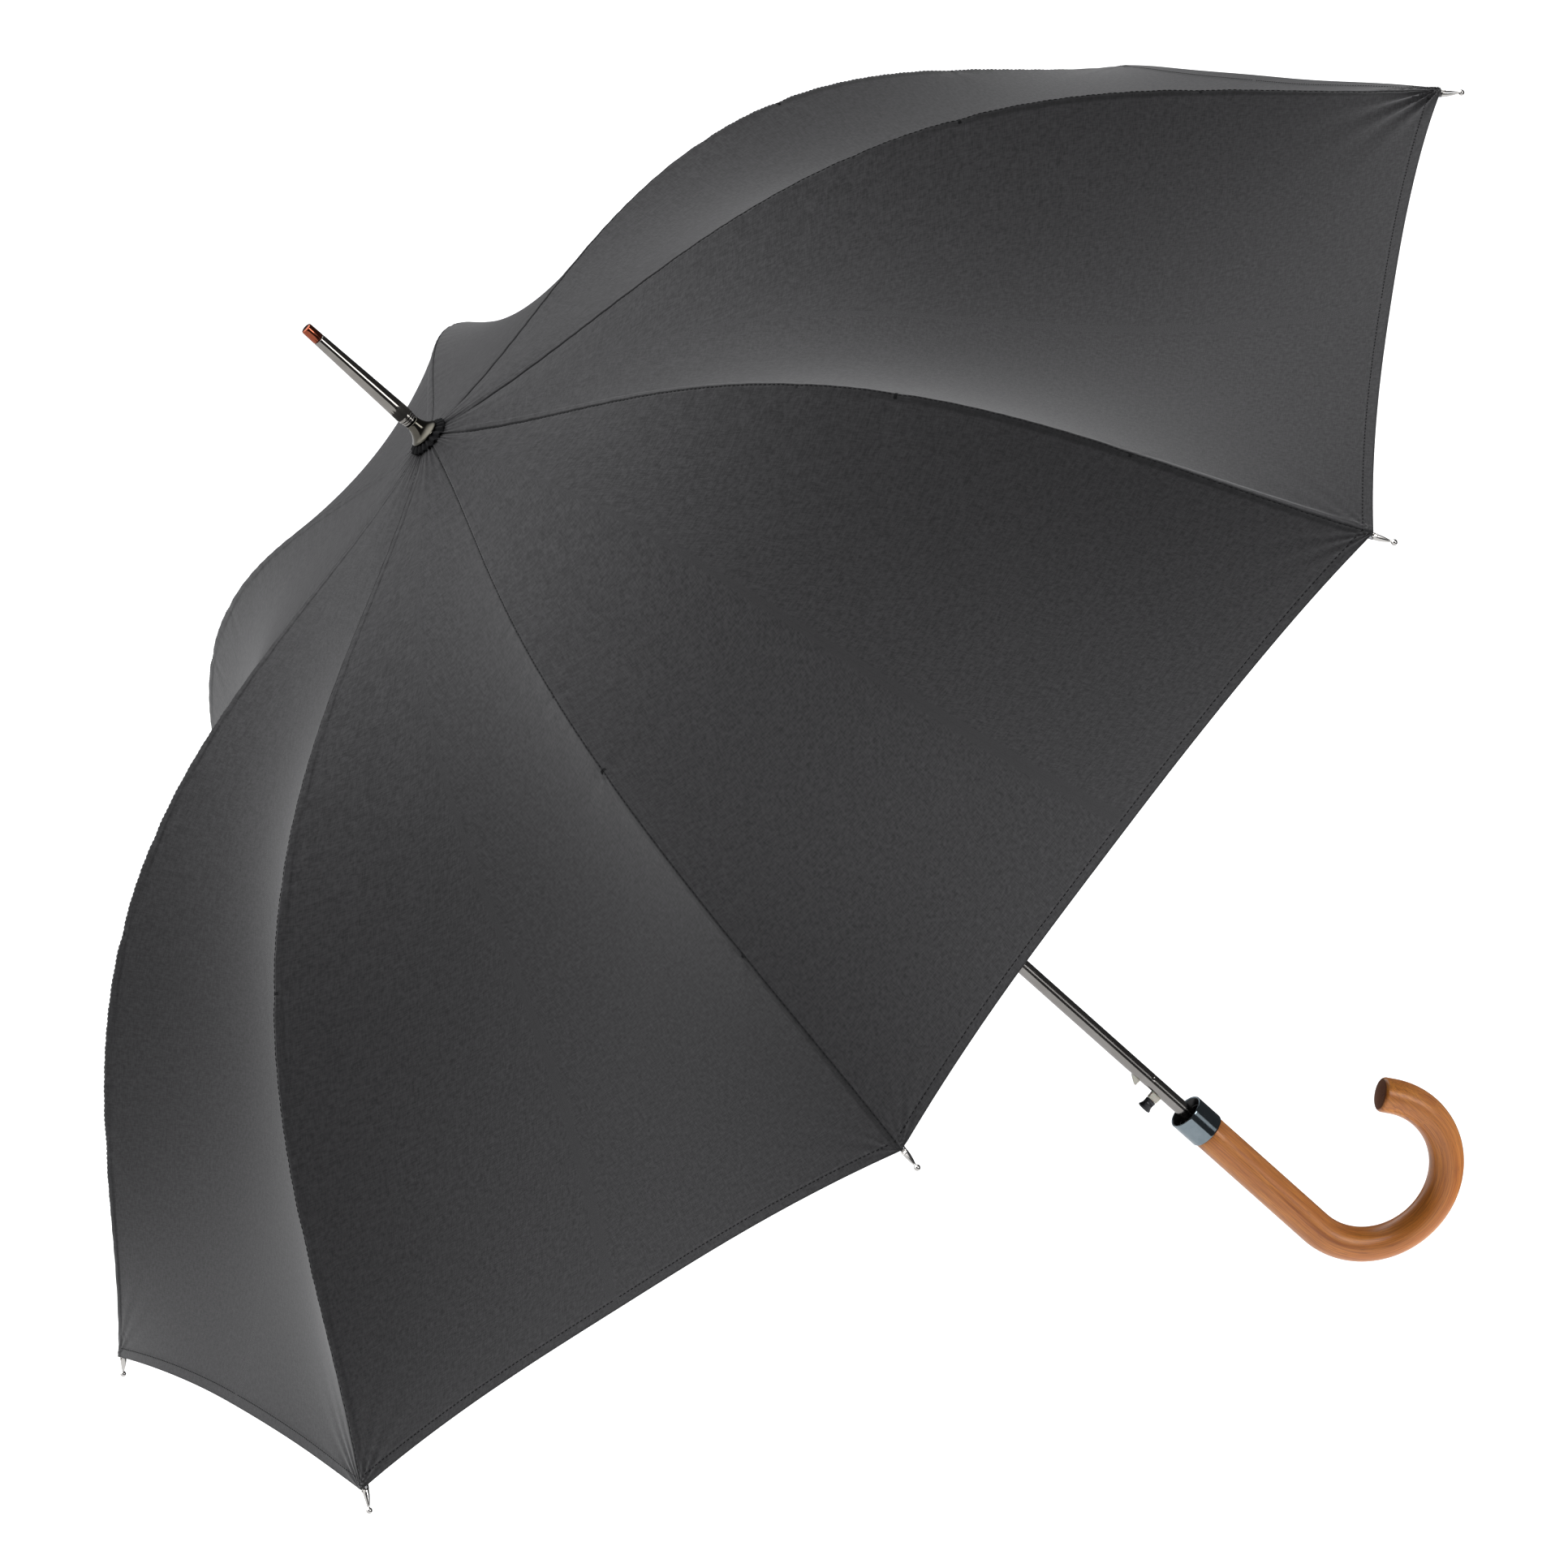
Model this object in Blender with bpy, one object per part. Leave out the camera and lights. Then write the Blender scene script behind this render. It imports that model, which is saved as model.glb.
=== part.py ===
"""Open stick umbrella with a crook handle and a push-button release, in metres.

+Z runs up the shaft to the ferrule, the crook bends toward +X and the button is on -X.
The origin is on the shaft's axis, at the middle of the straight grip. Heights below are
measured from the crown, the point of the canopy, which stands CROWN_Z above the origin.
"""

import math

import bmesh
import bpy
from mathutils import Matrix, Vector

CROWN_Z = 0.680
RIB_COUNT = 8
FIRST_RIB_DEG = -7.6

# Canopy: the slope of a rib, in radians, is a cubic in the share of its length.
RIM_RADIUS = 0.520
RIB_SLOPE = (0.3006, -2.1205, 7.1045, -4.5407)
GORE_SAG = (0.036, -0.020, -0.0045)
HEM_CUT = 0.0155
HEM_POWER = 2.54
CLOTH = 0.0008
CROWN_HOLE = 0.0056
SECTION_GAP_DEG = 0.12

# Frame linkage in the plane of one rib, as (radius, height).
RIB_DROP = 0.0030
RIB_R = 0.0014
RIB_PIVOT = (0.0080, -0.0100)
STRETCHER_PIVOT = (0.25340, -0.05589)
UPPER_PIVOT = (0.0115, -0.18325)
STRUT_PIVOT = (0.09558, -0.13903)
LOWER_PIVOT = (0.0115, -0.23569)
STRETCHER_W, STRETCHER_H = 0.0024, 0.0034
STRUT_W, STRUT_H = 0.0015, 0.0030
STRUT_ASIDE = 0.0024

# Shaft and the release.
SHAFT_R, SHAFT_BORE_R = 0.0043, 0.0035
SHAFT_TOP, SHAFT_END = 0.0036, -0.664
LEVER_PIVOT = (-0.0021, -0.6060)

# Handle.
COLLAR_R, COLLAR_TOP, COLLAR_END = 0.01105, -0.6135, -0.6320
WOOD_R, BEND_Z, BEND_R = 0.0102, -0.7250, 0.0460
BEND_DEG, TAIL = 210.0, 0.0085

FINISHES = {
    "fabric": ((0.070, 0.070, 0.074), 0.80, 0.0),
    "trim": ((0.012, 0.012, 0.013), 0.85, 0.0),
    "gunmetal": ((0.18, 0.18, 0.19), 0.25, 1.0),
    "copper": ((0.42, 0.17, 0.08), 0.28, 1.0),
    "steel": ((0.42, 0.42, 0.43), 0.30, 1.0),
    "nickel": ((0.60, 0.58, 0.55), 0.22, 1.0),
    "black_plastic": ((0.015, 0.015, 0.016), 0.40, 0.0),
    "cream_nylon": ((0.78, 0.74, 0.62), 0.45, 0.0),
    "wood": ((0.42, 0.15, 0.045), 0.28, 0.0),
}


def clear_scene():
    for old in list(bpy.data.objects):
        bpy.data.objects.remove(old, do_unlink=True)


def material(name):
    found = bpy.data.materials.get(name)
    if found:
        return found
    color, roughness, metallic = FINISHES[name]
    made = bpy.data.materials.new(name)
    made.use_nodes = True
    shader = made.node_tree.nodes["Principled BSDF"]
    shader.inputs["Base Color"].default_value = (*color, 1)
    shader.inputs["Roughness"].default_value = roughness
    shader.inputs["Metallic"].default_value = metallic
    made.diffuse_color = (*color, 1)
    return made


def add_object(name, bm, finish, origin=(0, 0, 0)):
    """The mesh is drawn in place; the object's origin is then put on its joint's axis."""
    bmesh.ops.recalc_face_normals(bm, faces=bm.faces)
    bmesh.ops.translate(bm, vec=-Vector(origin), verts=bm.verts)
    mesh = bpy.data.meshes.new(name)
    bm.to_mesh(mesh)
    bm.free()
    obj = bpy.data.objects.new(name, mesh)
    obj.location = origin
    mesh.materials.append(material(finish))
    bpy.context.collection.objects.link(obj)
    return obj


def skin(bm, rings, closed=False):
    """Joins rings of vertices, each a loop or a single point, into one skin."""
    pairs = list(zip(rings, rings[1:]))
    if closed:
        pairs.append((rings[-1], rings[0]))
    for a, b in pairs:
        n = max(len(a), len(b))
        for i in range(n):
            j = (i + 1) % n
            if len(a) == 1:
                bm.faces.new((a[0], b[i], b[j]))
            elif len(b) == 1:
                bm.faces.new((a[i], b[0], a[j]))
            else:
                bm.faces.new((a[i], b[i], b[j], a[j]))


def turned(name, outline, finish, steps=24, ring=False):
    """A piece turned about Z. A ring's outline closes on itself; any other starts and ends on the axis."""
    bm = bmesh.new()
    rings = []
    for r, h in outline:
        if r == 0:
            rings.append([bm.verts.new((0, 0, CROWN_Z + h))])
            continue
        turn = [2 * math.pi * i / steps for i in range(steps)]
        rings.append([bm.verts.new((r * math.cos(a), r * math.sin(a), CROWN_Z + h)) for a in turn])
    skin(bm, rings, closed=ring)
    return add_object(name, bm, finish)


def tube_along(bm, points, radii, sides):
    """A round bar through points that lie in one vertical plane, closed at both ends."""
    rings = []
    for i, p in enumerate(points):
        ahead = points[min(i + 1, len(points) - 1)] - points[max(i - 1, 0)]
        along = ahead.normalized()
        up = Vector((0, 1, 0))
        side = along.cross(up).normalized()
        r = radii[i]
        turn = [2 * math.pi * k / sides for k in range(sides)]
        rings.append([bm.verts.new(p + r * (math.cos(a) * side + math.sin(a) * up)) for a in turn])
    skin(bm, rings)
    bm.faces.new(rings[0])
    bm.faces.new(rings[-1])


def rib_angle(number):
    return math.radians(FIRST_RIB_DEG + 360 / RIB_COUNT * number)


def place(bm, number):
    """Turns a piece drawn in the XZ plane to its rib's direction and lifts it to the crown."""
    spin = Matrix.Translation((0, 0, CROWN_Z)) @ Matrix.Rotation(rib_angle(number), 4, "Z")
    bmesh.ops.transform(bm, matrix=spin, verts=bm.verts)


def pivot(at, number, aside=0.0):
    spin = Matrix.Rotation(rib_angle(number), 4, "Z")
    return spin @ Vector((at[0], aside, at[1])) + Vector((0, 0, CROWN_Z))


def seam_table(count=240):
    """Points of the seam over a rib, as (share of length, radius, height, slope)."""
    slopes = []
    for i in range(count + 1):
        s = i / count
        slopes.append(sum(k * s**n for n, k in enumerate(RIB_SLOPE)))
    radius, height, run = [0.0], [0.0], 0.0
    for a, b in zip(slopes, slopes[1:]):
        radius.append(radius[-1] + (math.cos(a) + math.cos(b)) / 2)
        height.append(height[-1] - (math.sin(a) + math.sin(b)) / 2)
    run = RIM_RADIUS / radius[-1]
    return [
        (i / count, radius[i] * run, height[i] * run, slopes[i]) for i in range(count + 1)
    ]


SEAM = seam_table()


def seam_at(s):
    x = min(max(s, 0.0), 1.0) * (len(SEAM) - 1)
    i = min(int(x), len(SEAM) - 2)
    f = x - i
    return [a * (1 - f) + b * f for a, b in zip(SEAM[i], SEAM[i + 1])]


def share_at_radius(radius):
    return next(s for s, r, h, slope in SEAM if r >= radius)


def cloth_point(number, s, turn, depth):
    """A point of the canopy near rib `number`; turn runs from -0.5 to 0.5 of a gore."""
    across = abs(turn)
    share = s * (1 - HEM_CUT * (1 - (1 - 2 * across) ** HEM_POWER))
    _, r, h, slope = seam_at(share)
    first = rib_angle(number)
    step = math.copysign(2 * math.pi / RIB_COUNT, turn)
    here = Vector((r * math.cos(first), r * math.sin(first), h))
    there = Vector((r * math.cos(first + step), r * math.sin(first + step), h))
    middle = first + step / 2
    normal = Vector(
        (math.sin(slope) * math.cos(middle), math.sin(slope) * math.sin(middle), math.cos(slope))
    )
    wave = GORE_SAG[0] * math.sin(math.pi * share) + GORE_SAG[1] * math.sin(2 * math.pi * share)
    sag = (wave + GORE_SAG[2] * share**2) * (1 - (1 - 2 * across) ** 2)
    point = here.lerp(there, across) - normal * (sag + depth)
    return point + Vector((0, 0, CROWN_Z))


def cloth_rows(count=12):
    inner = share_at_radius(CROWN_HOLE)
    return [inner + (1 - inner) * i / count for i in range(count + 1)]


def canopy_section(number):
    """The cloth over one rib, out to the middle of the gore on each side, with its own thickness."""
    rows = cloth_rows()
    most = 0.5 - SECTION_GAP_DEG * RIB_COUNT / 360
    turns = [most * k / 4 for k in range(-4, 5)]
    bm = bmesh.new()
    sides = []
    for depth in (0.0, CLOTH):
        sides.append(
            [[bm.verts.new(cloth_point(number, s, t or 1e-9, depth)) for t in turns] for s in rows]
        )
    top, under = sides
    for i in range(len(rows) - 1):
        for k in range(len(turns) - 1):
            bm.faces.new((top[i][k], top[i + 1][k], top[i + 1][k + 1], top[i][k + 1]))
            bm.faces.new((under[i][k], under[i][k + 1], under[i + 1][k + 1], under[i + 1][k]))
    edge = [(0, k) for k in range(len(turns))]
    edge += [(i, len(turns) - 1) for i in range(1, len(rows))]
    edge += [(len(rows) - 1, k) for k in range(len(turns) - 2, -1, -1)]
    edge += [(i, 0) for i in range(len(rows) - 2, 0, -1)]
    for a, b in zip(edge, edge[1:] + edge[:1]):
        bm.faces.new((top[a[0]][a[1]], top[b[0]][b[1]], under[b[0]][b[1]], under[a[0]][a[1]]))
    bmesh.ops.triangulate(bm, faces=bm.faces)
    add_object(f"canopy_{number + 1}", bm, "fabric", pivot(RIB_PIVOT, number))


def rib_centre(s):
    """The rib's own line, RIB_DROP under the seam and led in to its pivot near the crown."""
    _, r, h, slope = seam_at(s)
    point = Vector((r - RIB_DROP * math.sin(slope), 0, h - RIB_DROP * math.cos(slope)))
    return point


def rib(number):
    points = [Vector((RIB_PIVOT[0] - 0.0012, 0, RIB_PIVOT[1]))]
    points += [rib_centre(s) for s in cloth_rows()[1:]]
    bm = bmesh.new()
    tube_along(bm, points, [RIB_R] * len(points), 6)
    place(bm, number)
    add_object(f"rib_{number + 1}", bm, "steel", pivot(RIB_PIVOT, number))


def rib_tip(number):
    """Pressed metal point on the rib's end: a slender cone, a neck and a small ball."""
    _, _, _, slope = seam_at(1.0)
    along = Vector((math.cos(slope), 0, -math.sin(slope)))
    start = rib_centre(1.0)
    shape = ((0.0003, 0.0014), (0.0030, 0.0014), (0.0088, 0.0006), (0.0096, 0.0006))
    shape += ((0.0100, 0.0012), (0.0112, 0.0016), (0.0124, 0.0012), (0.0128, 0.0005))
    bm = bmesh.new()
    tube_along(bm, [start + along * d for d, _ in shape], [r for _, r in shape], 8)
    place(bm, number)
    add_object(f"rib_tip_{number + 1}", bm, "nickel", pivot(RIB_PIVOT, number))


def flat_bar(name, ends, width, height, aside, finish, number):
    """A flat bar in a rib's plane with a round eye at each end, its origin on the outer pivot."""
    outer, inner = (Vector((p[0], 0, p[1])) for p in ends)
    along = (inner - outer).normalized()
    up = Vector((-along.z, 0, along.x))
    half = height / 2
    rim = []
    for centre, facing in ((outer, -1), (inner, 1)):
        for k in range(7):
            a = math.pi * (k / 6 - 0.5)
            rim.append(centre + half * facing * (math.cos(a) * along + math.sin(a) * up))
    bm = bmesh.new()
    near, far = (
        [bm.verts.new(p + Vector((0, aside + y, 0))) for p in rim] for y in (-width / 2, width / 2)
    )
    bm.faces.new(near)
    bm.faces.new(far)
    for i in range(len(rim)):
        j = (i + 1) % len(rim)
        bm.faces.new((near[i], near[j], far[j], far[i]))
    place(bm, number)
    add_object(name, bm, finish, pivot(ends[0], number, aside))


def slotted_disc(name, bore, rim, top, bottom, slot_floor, slot_deg, finish, tail=()):
    """A hub with one slot for each rib, given as (middle, half width) in degrees from the rib."""
    middle, half = (math.radians(d) for d in slot_deg)
    step = 2 * math.pi / RIB_COUNT
    bm = bmesh.new()
    inner, outer, sleeve = [], [], []
    for number in range(RIB_COUNT):
        first = rib_angle(number) + middle
        land = step - 2 * half
        for turn in (-half, half, half + land / 3, half + land * 2 / 3):
            inner.append((bore, first + turn))
            sleeve.append((tail[0] if tail else bore, first + turn))
        outer.append([(rim, first - half), (slot_floor, first - half)])
        outer.append([(slot_floor, first + half), (rim, first + half)])
        outer += [[(rim, first + half + land * n / 3)] for n in (1, 2)]

    def ring(points, h):
        return [bm.verts.new((r * math.cos(a), r * math.sin(a), CROWN_Z + h)) for r, a in points]

    def flange(loop, h):
        edges = [ring(points, h) for points in outer]
        for i in range(len(loop)):
            j = (i + 1) % len(loop)
            first, last = edges[i], edges[j]
            start = first[-1:] if i % 4 == 0 else first
            stop = last[:1] if i % 4 == 0 else last
            bm.faces.new([loop[i], *start, *stop, loop[j]])
        return [v for points in edges for v in points]

    top_in, low_in = ring(inner, top), ring(sleeve, bottom)
    top_out, low_out = flange(top_in, top), flange(low_in, bottom)
    skin(bm, [top_out, low_out])
    if tail:
        sleeve_end, bore_end = ring(sleeve, tail[1]), ring(inner, tail[1])
        skin(bm, [low_in, sleeve_end, bore_end, top_in])
    else:
        skin(bm, [low_in, top_in])
    return add_object(name, bm, finish)


def cut_window(obj, name, low, high):
    """Cuts a rectangular window with a hidden block."""
    bm = bmesh.new()
    bmesh.ops.create_cube(bm, size=1)
    size = [b - a for a, b in zip(low, high)]
    middle = Vector([(a + b) / 2 for a, b in zip(low, high)])
    bmesh.ops.scale(bm, vec=size, verts=bm.verts)
    bmesh.ops.translate(bm, vec=middle + Vector((0, 0, CROWN_Z)), verts=bm.verts)
    mesh = bpy.data.meshes.new(name)
    bm.to_mesh(mesh)
    bm.free()
    cutter = bpy.data.objects.new(name, mesh)
    cutter.hide_render = True
    cutter.display_type = "WIRE"
    bpy.context.collection.objects.link(cutter)
    cut = obj.modifiers.new(name, "BOOLEAN")
    cut.operation = "DIFFERENCE"
    cut.solver = "EXACT"
    cut.object = cutter


def shaft():
    r, b = SHAFT_R, SHAFT_BORE_R
    outline = [(b, SHAFT_TOP), (r, SHAFT_TOP), (r, SHAFT_END), (b, SHAFT_END)]
    tube = turned("shaft_tube", outline, "gunmetal", ring=True)
    cut_window(tube, "tooth_window", (-0.006, -0.0016, -0.5802), (-0.002, 0.0016, -0.5692))
    cut_window(tube, "button_window", (-0.006, -0.0016, -0.5976), (-0.002, 0.0016, -0.5832))


def ferrule():
    """A machined spike with a peg into the tube, its end cap, and the bell washer over the crown."""
    spike = [(0, 0.0880), (0.0024, 0.0880), (0.0024, 0.0820), (0.00345, 0.0820), (0.00475, 0.0170)]
    spike += [(0.0045, 0.0156), (0.0039, 0.0150), (0.0042, 0.0140), (0.0036, 0.0132)]
    spike += [(0.0041, 0.0124), (0.0037, 0.0118), (0.0032, 0.0116), (0.0032, -0.0200), (0, -0.0200)]
    turned("ferrule_spike", spike, "gunmetal", 20)
    cap = [(0, 0.0919), (0.0028, 0.0919), (0.0033, 0.0914), (0.00348, 0.0823), (0.0027, 0.0823)]
    cap += [(0.0027, 0.0884), (0, 0.0884)]
    turned("ferrule_cap", cap, "copper", 20)
    cup = [(0.0035, 0.0113), (0.0040, 0.0113), (0.0046, 0.0090), (0.0056, 0.0062), (0.0070, 0.0038)]
    cup += [(0.0084, 0.0024), (0.00875, 0.0018), (0.00875, 0.0013), (0.0080, 0.0013)]
    cup += [(0.0064, 0.0028), (0.0049, 0.0056), (0.0035, 0.0090)]
    turned("ferrule_cup", cup, "gunmetal", 24, ring=True)
    rosette = [(0.0047, 0.0009), (0.0098, 0.0009), (0.0110, 0.0000), (0.0110, -0.0022)]
    rosette += [(0.0100, -0.0026), (0.0047, -0.0010)]
    turned("crown_rosette", rosette, "trim", 24, ring=True)


def runners():
    h = RIB_PIVOT[1]
    slotted_disc("top_notch", 0.0046, 0.0096, h + 0.0030, h - 0.0034, 0.0062, (0, 15.6), "steel")
    top = UPPER_PIVOT[1] + 0.0045
    stop = [(0.0046, top + 0.0035), (0.0062, top + 0.0035), (0.0062, top + 0.0003), (0.0046, top + 0.0003)]
    turned("runner_stop", stop, "black_plastic", 16, ring=True)
    low = UPPER_PIVOT[1] - 0.0036
    slotted_disc(
        "upper_runner", 0.0047, 0.0136, top, low, 0.0080, (0, 9.4), "black_plastic", (0.0066, low - 0.0080)
    )
    high, low = LOWER_PIVOT[1] + 0.0040, LOWER_PIVOT[1] - 0.0036
    end = LOWER_PIVOT[1] - 0.0375
    sleeve = slotted_disc(
        "lower_runner", 0.0047, 0.0136, high, low, 0.0080, (14.6, 10.4), "black_plastic", (0.0070, end)
    )
    window = LOWER_PIVOT[1] - 0.0334, LOWER_PIVOT[1] - 0.0212
    cut_window(sleeve, "catch_window", (-0.0090, -0.0018, window[0]), (-0.0030, 0.0018, window[1]))


def drive_spring():
    """Open coil spring round the shaft, pushing the two runners apart."""
    top, bottom = UPPER_PIVOT[1] - 0.0122, LOWER_PIVOT[1] + 0.0046
    coils, steps, wire, radius = 7, 10, 0.00045, 0.0056
    bm = bmesh.new()
    rings = []
    for i in range(coils * steps + 1):
        a = 2 * math.pi * i / steps
        h = top - wire + (bottom - top + 2 * wire) * i / (coils * steps)
        out = Vector((math.cos(a), math.sin(a), 0))
        centre = out * radius + Vector((0, 0, CROWN_Z + h))
        turn = [2 * math.pi * k / 5 for k in range(5)]
        rings.append(
            [bm.verts.new(centre + wire * (math.cos(t) * out + math.sin(t) * Vector((0, 0, 1)))) for t in turn]
        )
    skin(bm, rings)
    bm.faces.new(rings[0])
    bm.faces.new(rings[-1])
    add_object("drive_spring", bm, "steel")


def release():
    """Nylon lever inside the tube, with the catch tooth and the button's stem on one strip."""
    x, out = -0.0029, -0.0080
    side = [(-0.0014, -0.6080), (x, -0.6080), (x, -0.5962), (out, -0.5962), (out, -0.5898)]
    side += [(x, -0.5898), (x, -0.5787), (-0.0078, -0.5785), (-0.0076, -0.5776), (x, -0.5714)]
    side += [(-0.0014, -0.5714)]
    bm = bmesh.new()
    near, far = ([bm.verts.new((px, y, CROWN_Z + h)) for px, h in side] for y in (-0.0013, 0.0013))
    bm.faces.new(near)
    bm.faces.new(far)
    for i in range(len(side)):
        j = (i + 1) % len(side)
        bm.faces.new((near[i], near[j], far[j], far[i]))
    hinge = (LEVER_PIVOT[0], 0, CROWN_Z + LEVER_PIVOT[1])
    add_object("release_lever", bm, "cream_nylon", hinge)

    rings_of = [(-0.0083, 0.0033, 0.0024), (-0.0092, 0.0036, 0.0027), (-0.0104, 0.0031, 0.0024)]
    rings_of += [(-0.0125, 0.0035, 0.0028), (-0.0140, 0.0042, 0.0034), (-0.0147, 0.0039, 0.0031)]
    rings_of += [(-0.0150, 0.0026, 0.0020)]
    bm = bmesh.new()
    rings = []
    for px, tall, wide in rings_of:
        turn = [2 * math.pi * k / 16 for k in range(16)]
        rings.append(
            [bm.verts.new((px, wide * math.cos(a), CROWN_Z - 0.5930 + tall * math.sin(a))) for a in turn]
        )
    skin(bm, rings)
    bm.faces.new(rings[0])
    bm.faces.new(rings[-1])
    add_object("button_cap", bm, "black_plastic", hinge)


def handle():
    r, inner = COLLAR_R, 0.01010
    outline = [(inner, COLLAR_TOP), (r - 0.0002, COLLAR_TOP), (r, COLLAR_TOP - 0.0006)]
    outline += [(r, COLLAR_END + 0.0006), (r - 0.0004, COLLAR_END), (inner, COLLAR_END)]
    turned("handle_collar", outline, "gunmetal", 32, ring=True)
    bush = [(0.0046, -0.6200), (0.0098, -0.6200), (0.0098, -0.6250), (0.0046, -0.6250)]
    turned("collar_bush", bush, "black_plastic", 24, ring=True)

    bore = 0.0046
    start = [(-0.6670, 0.0), (-0.6670, bore), (-0.6254, bore), (-0.6254, 0.0097), (-0.6324, 0.0097)]
    start += [(-0.6324, WOOD_R), (BEND_Z, WOOD_R)]
    sides = 20
    bm = bmesh.new()
    rings = []
    for h, radius in start:
        if radius == 0:
            rings.append([bm.verts.new((0, 0, CROWN_Z + h))])
            continue
        turn = [2 * math.pi * k / sides for k in range(sides)]
        rings.append(
            [bm.verts.new((radius * math.cos(a), radius * math.sin(a), CROWN_Z + h)) for a in turn]
        )
    bend = math.radians(BEND_DEG)
    stations = [(bend * k / 18, 0.0, WOOD_R) for k in range(1, 19)]
    stations += [(bend, TAIL - 0.0010, WOOD_R), (bend, TAIL, WOOD_R - 0.0012)]
    for a, extra, radius in stations:
        along = Vector((math.sin(a), 0, -math.cos(a)))
        out = Vector((math.cos(a), 0, math.sin(a)))
        centre = Vector((BEND_R - BEND_R * math.cos(a), 0, CROWN_Z + BEND_Z - BEND_R * math.sin(a)))
        centre += along * extra
        turn = [2 * math.pi * k / sides for k in range(sides)]
        rings.append(
            [bm.verts.new(centre + radius * (math.cos(t) * out + math.sin(t) * Vector((0, 1, 0)))) for t in turn]
        )
    skin(bm, rings)
    bm.faces.new(rings[-1])
    add_object("crook_handle", bm, "wood")


clear_scene()
shaft()
ferrule()
runners()
drive_spring()
release()
handle()
for n in range(RIB_COUNT):
    rib(n)
    rib_tip(n)
    flat_bar(
        f"stretcher_{n + 1}", (STRETCHER_PIVOT, UPPER_PIVOT), STRETCHER_W, STRETCHER_H, 0.0, "steel", n
    )
    flat_bar(f"strut_{n + 1}", (STRUT_PIVOT, LOWER_PIVOT), STRUT_W, STRUT_H, STRUT_ASIDE, "steel", n)
    canopy_section(n)
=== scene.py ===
import math

import bmesh
import bpy
import numpy as np
from mathutils import Matrix, Vector


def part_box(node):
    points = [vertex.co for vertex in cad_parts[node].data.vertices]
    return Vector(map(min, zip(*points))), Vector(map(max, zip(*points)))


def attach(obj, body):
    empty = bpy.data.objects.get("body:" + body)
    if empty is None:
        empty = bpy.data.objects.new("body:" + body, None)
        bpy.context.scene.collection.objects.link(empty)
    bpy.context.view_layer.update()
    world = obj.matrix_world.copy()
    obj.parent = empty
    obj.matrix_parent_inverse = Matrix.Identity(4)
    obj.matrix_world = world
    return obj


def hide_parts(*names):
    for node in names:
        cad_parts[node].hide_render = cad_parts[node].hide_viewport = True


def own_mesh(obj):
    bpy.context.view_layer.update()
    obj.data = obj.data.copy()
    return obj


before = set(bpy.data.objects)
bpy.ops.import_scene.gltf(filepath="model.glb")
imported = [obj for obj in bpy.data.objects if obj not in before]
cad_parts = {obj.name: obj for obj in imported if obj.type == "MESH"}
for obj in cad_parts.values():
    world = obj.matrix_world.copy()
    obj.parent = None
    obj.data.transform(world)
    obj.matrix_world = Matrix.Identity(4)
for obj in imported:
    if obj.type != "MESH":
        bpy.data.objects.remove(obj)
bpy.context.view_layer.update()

CROWN_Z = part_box("shaft_tube")[1].z - 0.0036  # the crown's height; h below is measured from it


# ---- Camera. It looks at the front of the open canopy from a little above the rim, rolled until
# the shaft runs down to the right. A long lens, no shift, no depth of field.
AZIMUTH, ELEVATION, ROLL = (math.radians(a) for a in (-85.36, 22.07, -48.37))
AIM = Vector((-0.0113, -0.0161, 0.3926))
DISTANCE = 4.546

toward = Vector((math.cos(ELEVATION) * math.cos(AZIMUTH), math.cos(ELEVATION) * math.sin(AZIMUTH), 0))
toward.z = math.sin(ELEVATION)
camera = bpy.data.objects.new("camera", bpy.data.cameras.new("camera"))
camera.data.lens = 187.6
camera.data.clip_end = 200
upright = toward.to_track_quat("Z", "Y").to_matrix().to_4x4()
camera.matrix_world = (
    Matrix.Translation(AIM + toward * DISTANCE) @ upright @ Matrix.Rotation(ROLL, 4, "Z")
)
bpy.context.scene.collection.objects.link(camera)
bpy.context.scene.camera = camera
bpy.context.scene.view_settings.view_transform = "Standard"


# ---- Studio. A pale floor far below the umbrella, a large soft light overhead, and two lights that
# only show in reflections: a wide wall on the button's side and a tall strip on the other side.
FLOOR_Z = -3.4
FLOOR_SIZE = 60.0
KEY = {"direction": (0.10, 0.26, 0.96), "edge": 0.50, "full": 0.96, "strength": 3.15}
WALL = {"direction": (-0.93, -0.02, -0.36), "edge": 0.22, "full": 0.26, "strength": 0.85}
STRIP_AZIMUTH, STRIP_HALF, STRIP_STRENGTH = math.radians(-50), 0.13, 5.0
STRIP_FOOT, FOOT_SHARE = (-0.37, -0.33), 0.15
FILL = 0.06


def add_node(tree, kind, inputs=(), **settings):
    """A shader node with its settings, and its inputs set to a value or linked to another socket."""
    made = tree.nodes.new("ShaderNode" + kind)
    for name, value in settings.items():
        setattr(made, name, value)
    for socket, value in dict(inputs).items():
        if isinstance(value, bpy.types.NodeSocket):
            tree.links.new(value, made.inputs[socket])
        else:
            made.inputs[socket].default_value = value
    return made


def math_node(tree, kind, *values):
    """One step of arithmetic on numbers or sockets."""
    return add_node(tree, "Math", dict(enumerate(values)), operation=kind).outputs[0]


def ramp(tree, value, low, high, start=0.0, end=1.0, smooth=True):
    """Takes low to high of a value to start to end, and stays at those outside."""
    ends = {"Value": value, "From Min": low, "From Max": high, "To Min": start, "To Max": end}
    kind = "SMOOTHSTEP" if smooth else "LINEAR"
    return add_node(tree, "MapRange", ends, interpolation_type=kind).outputs["Result"]


def dot(tree, a, b):
    return add_node(tree, "VectorMath", {0: a, 1: b}, operation="DOT_PRODUCT").outputs["Value"]


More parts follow.
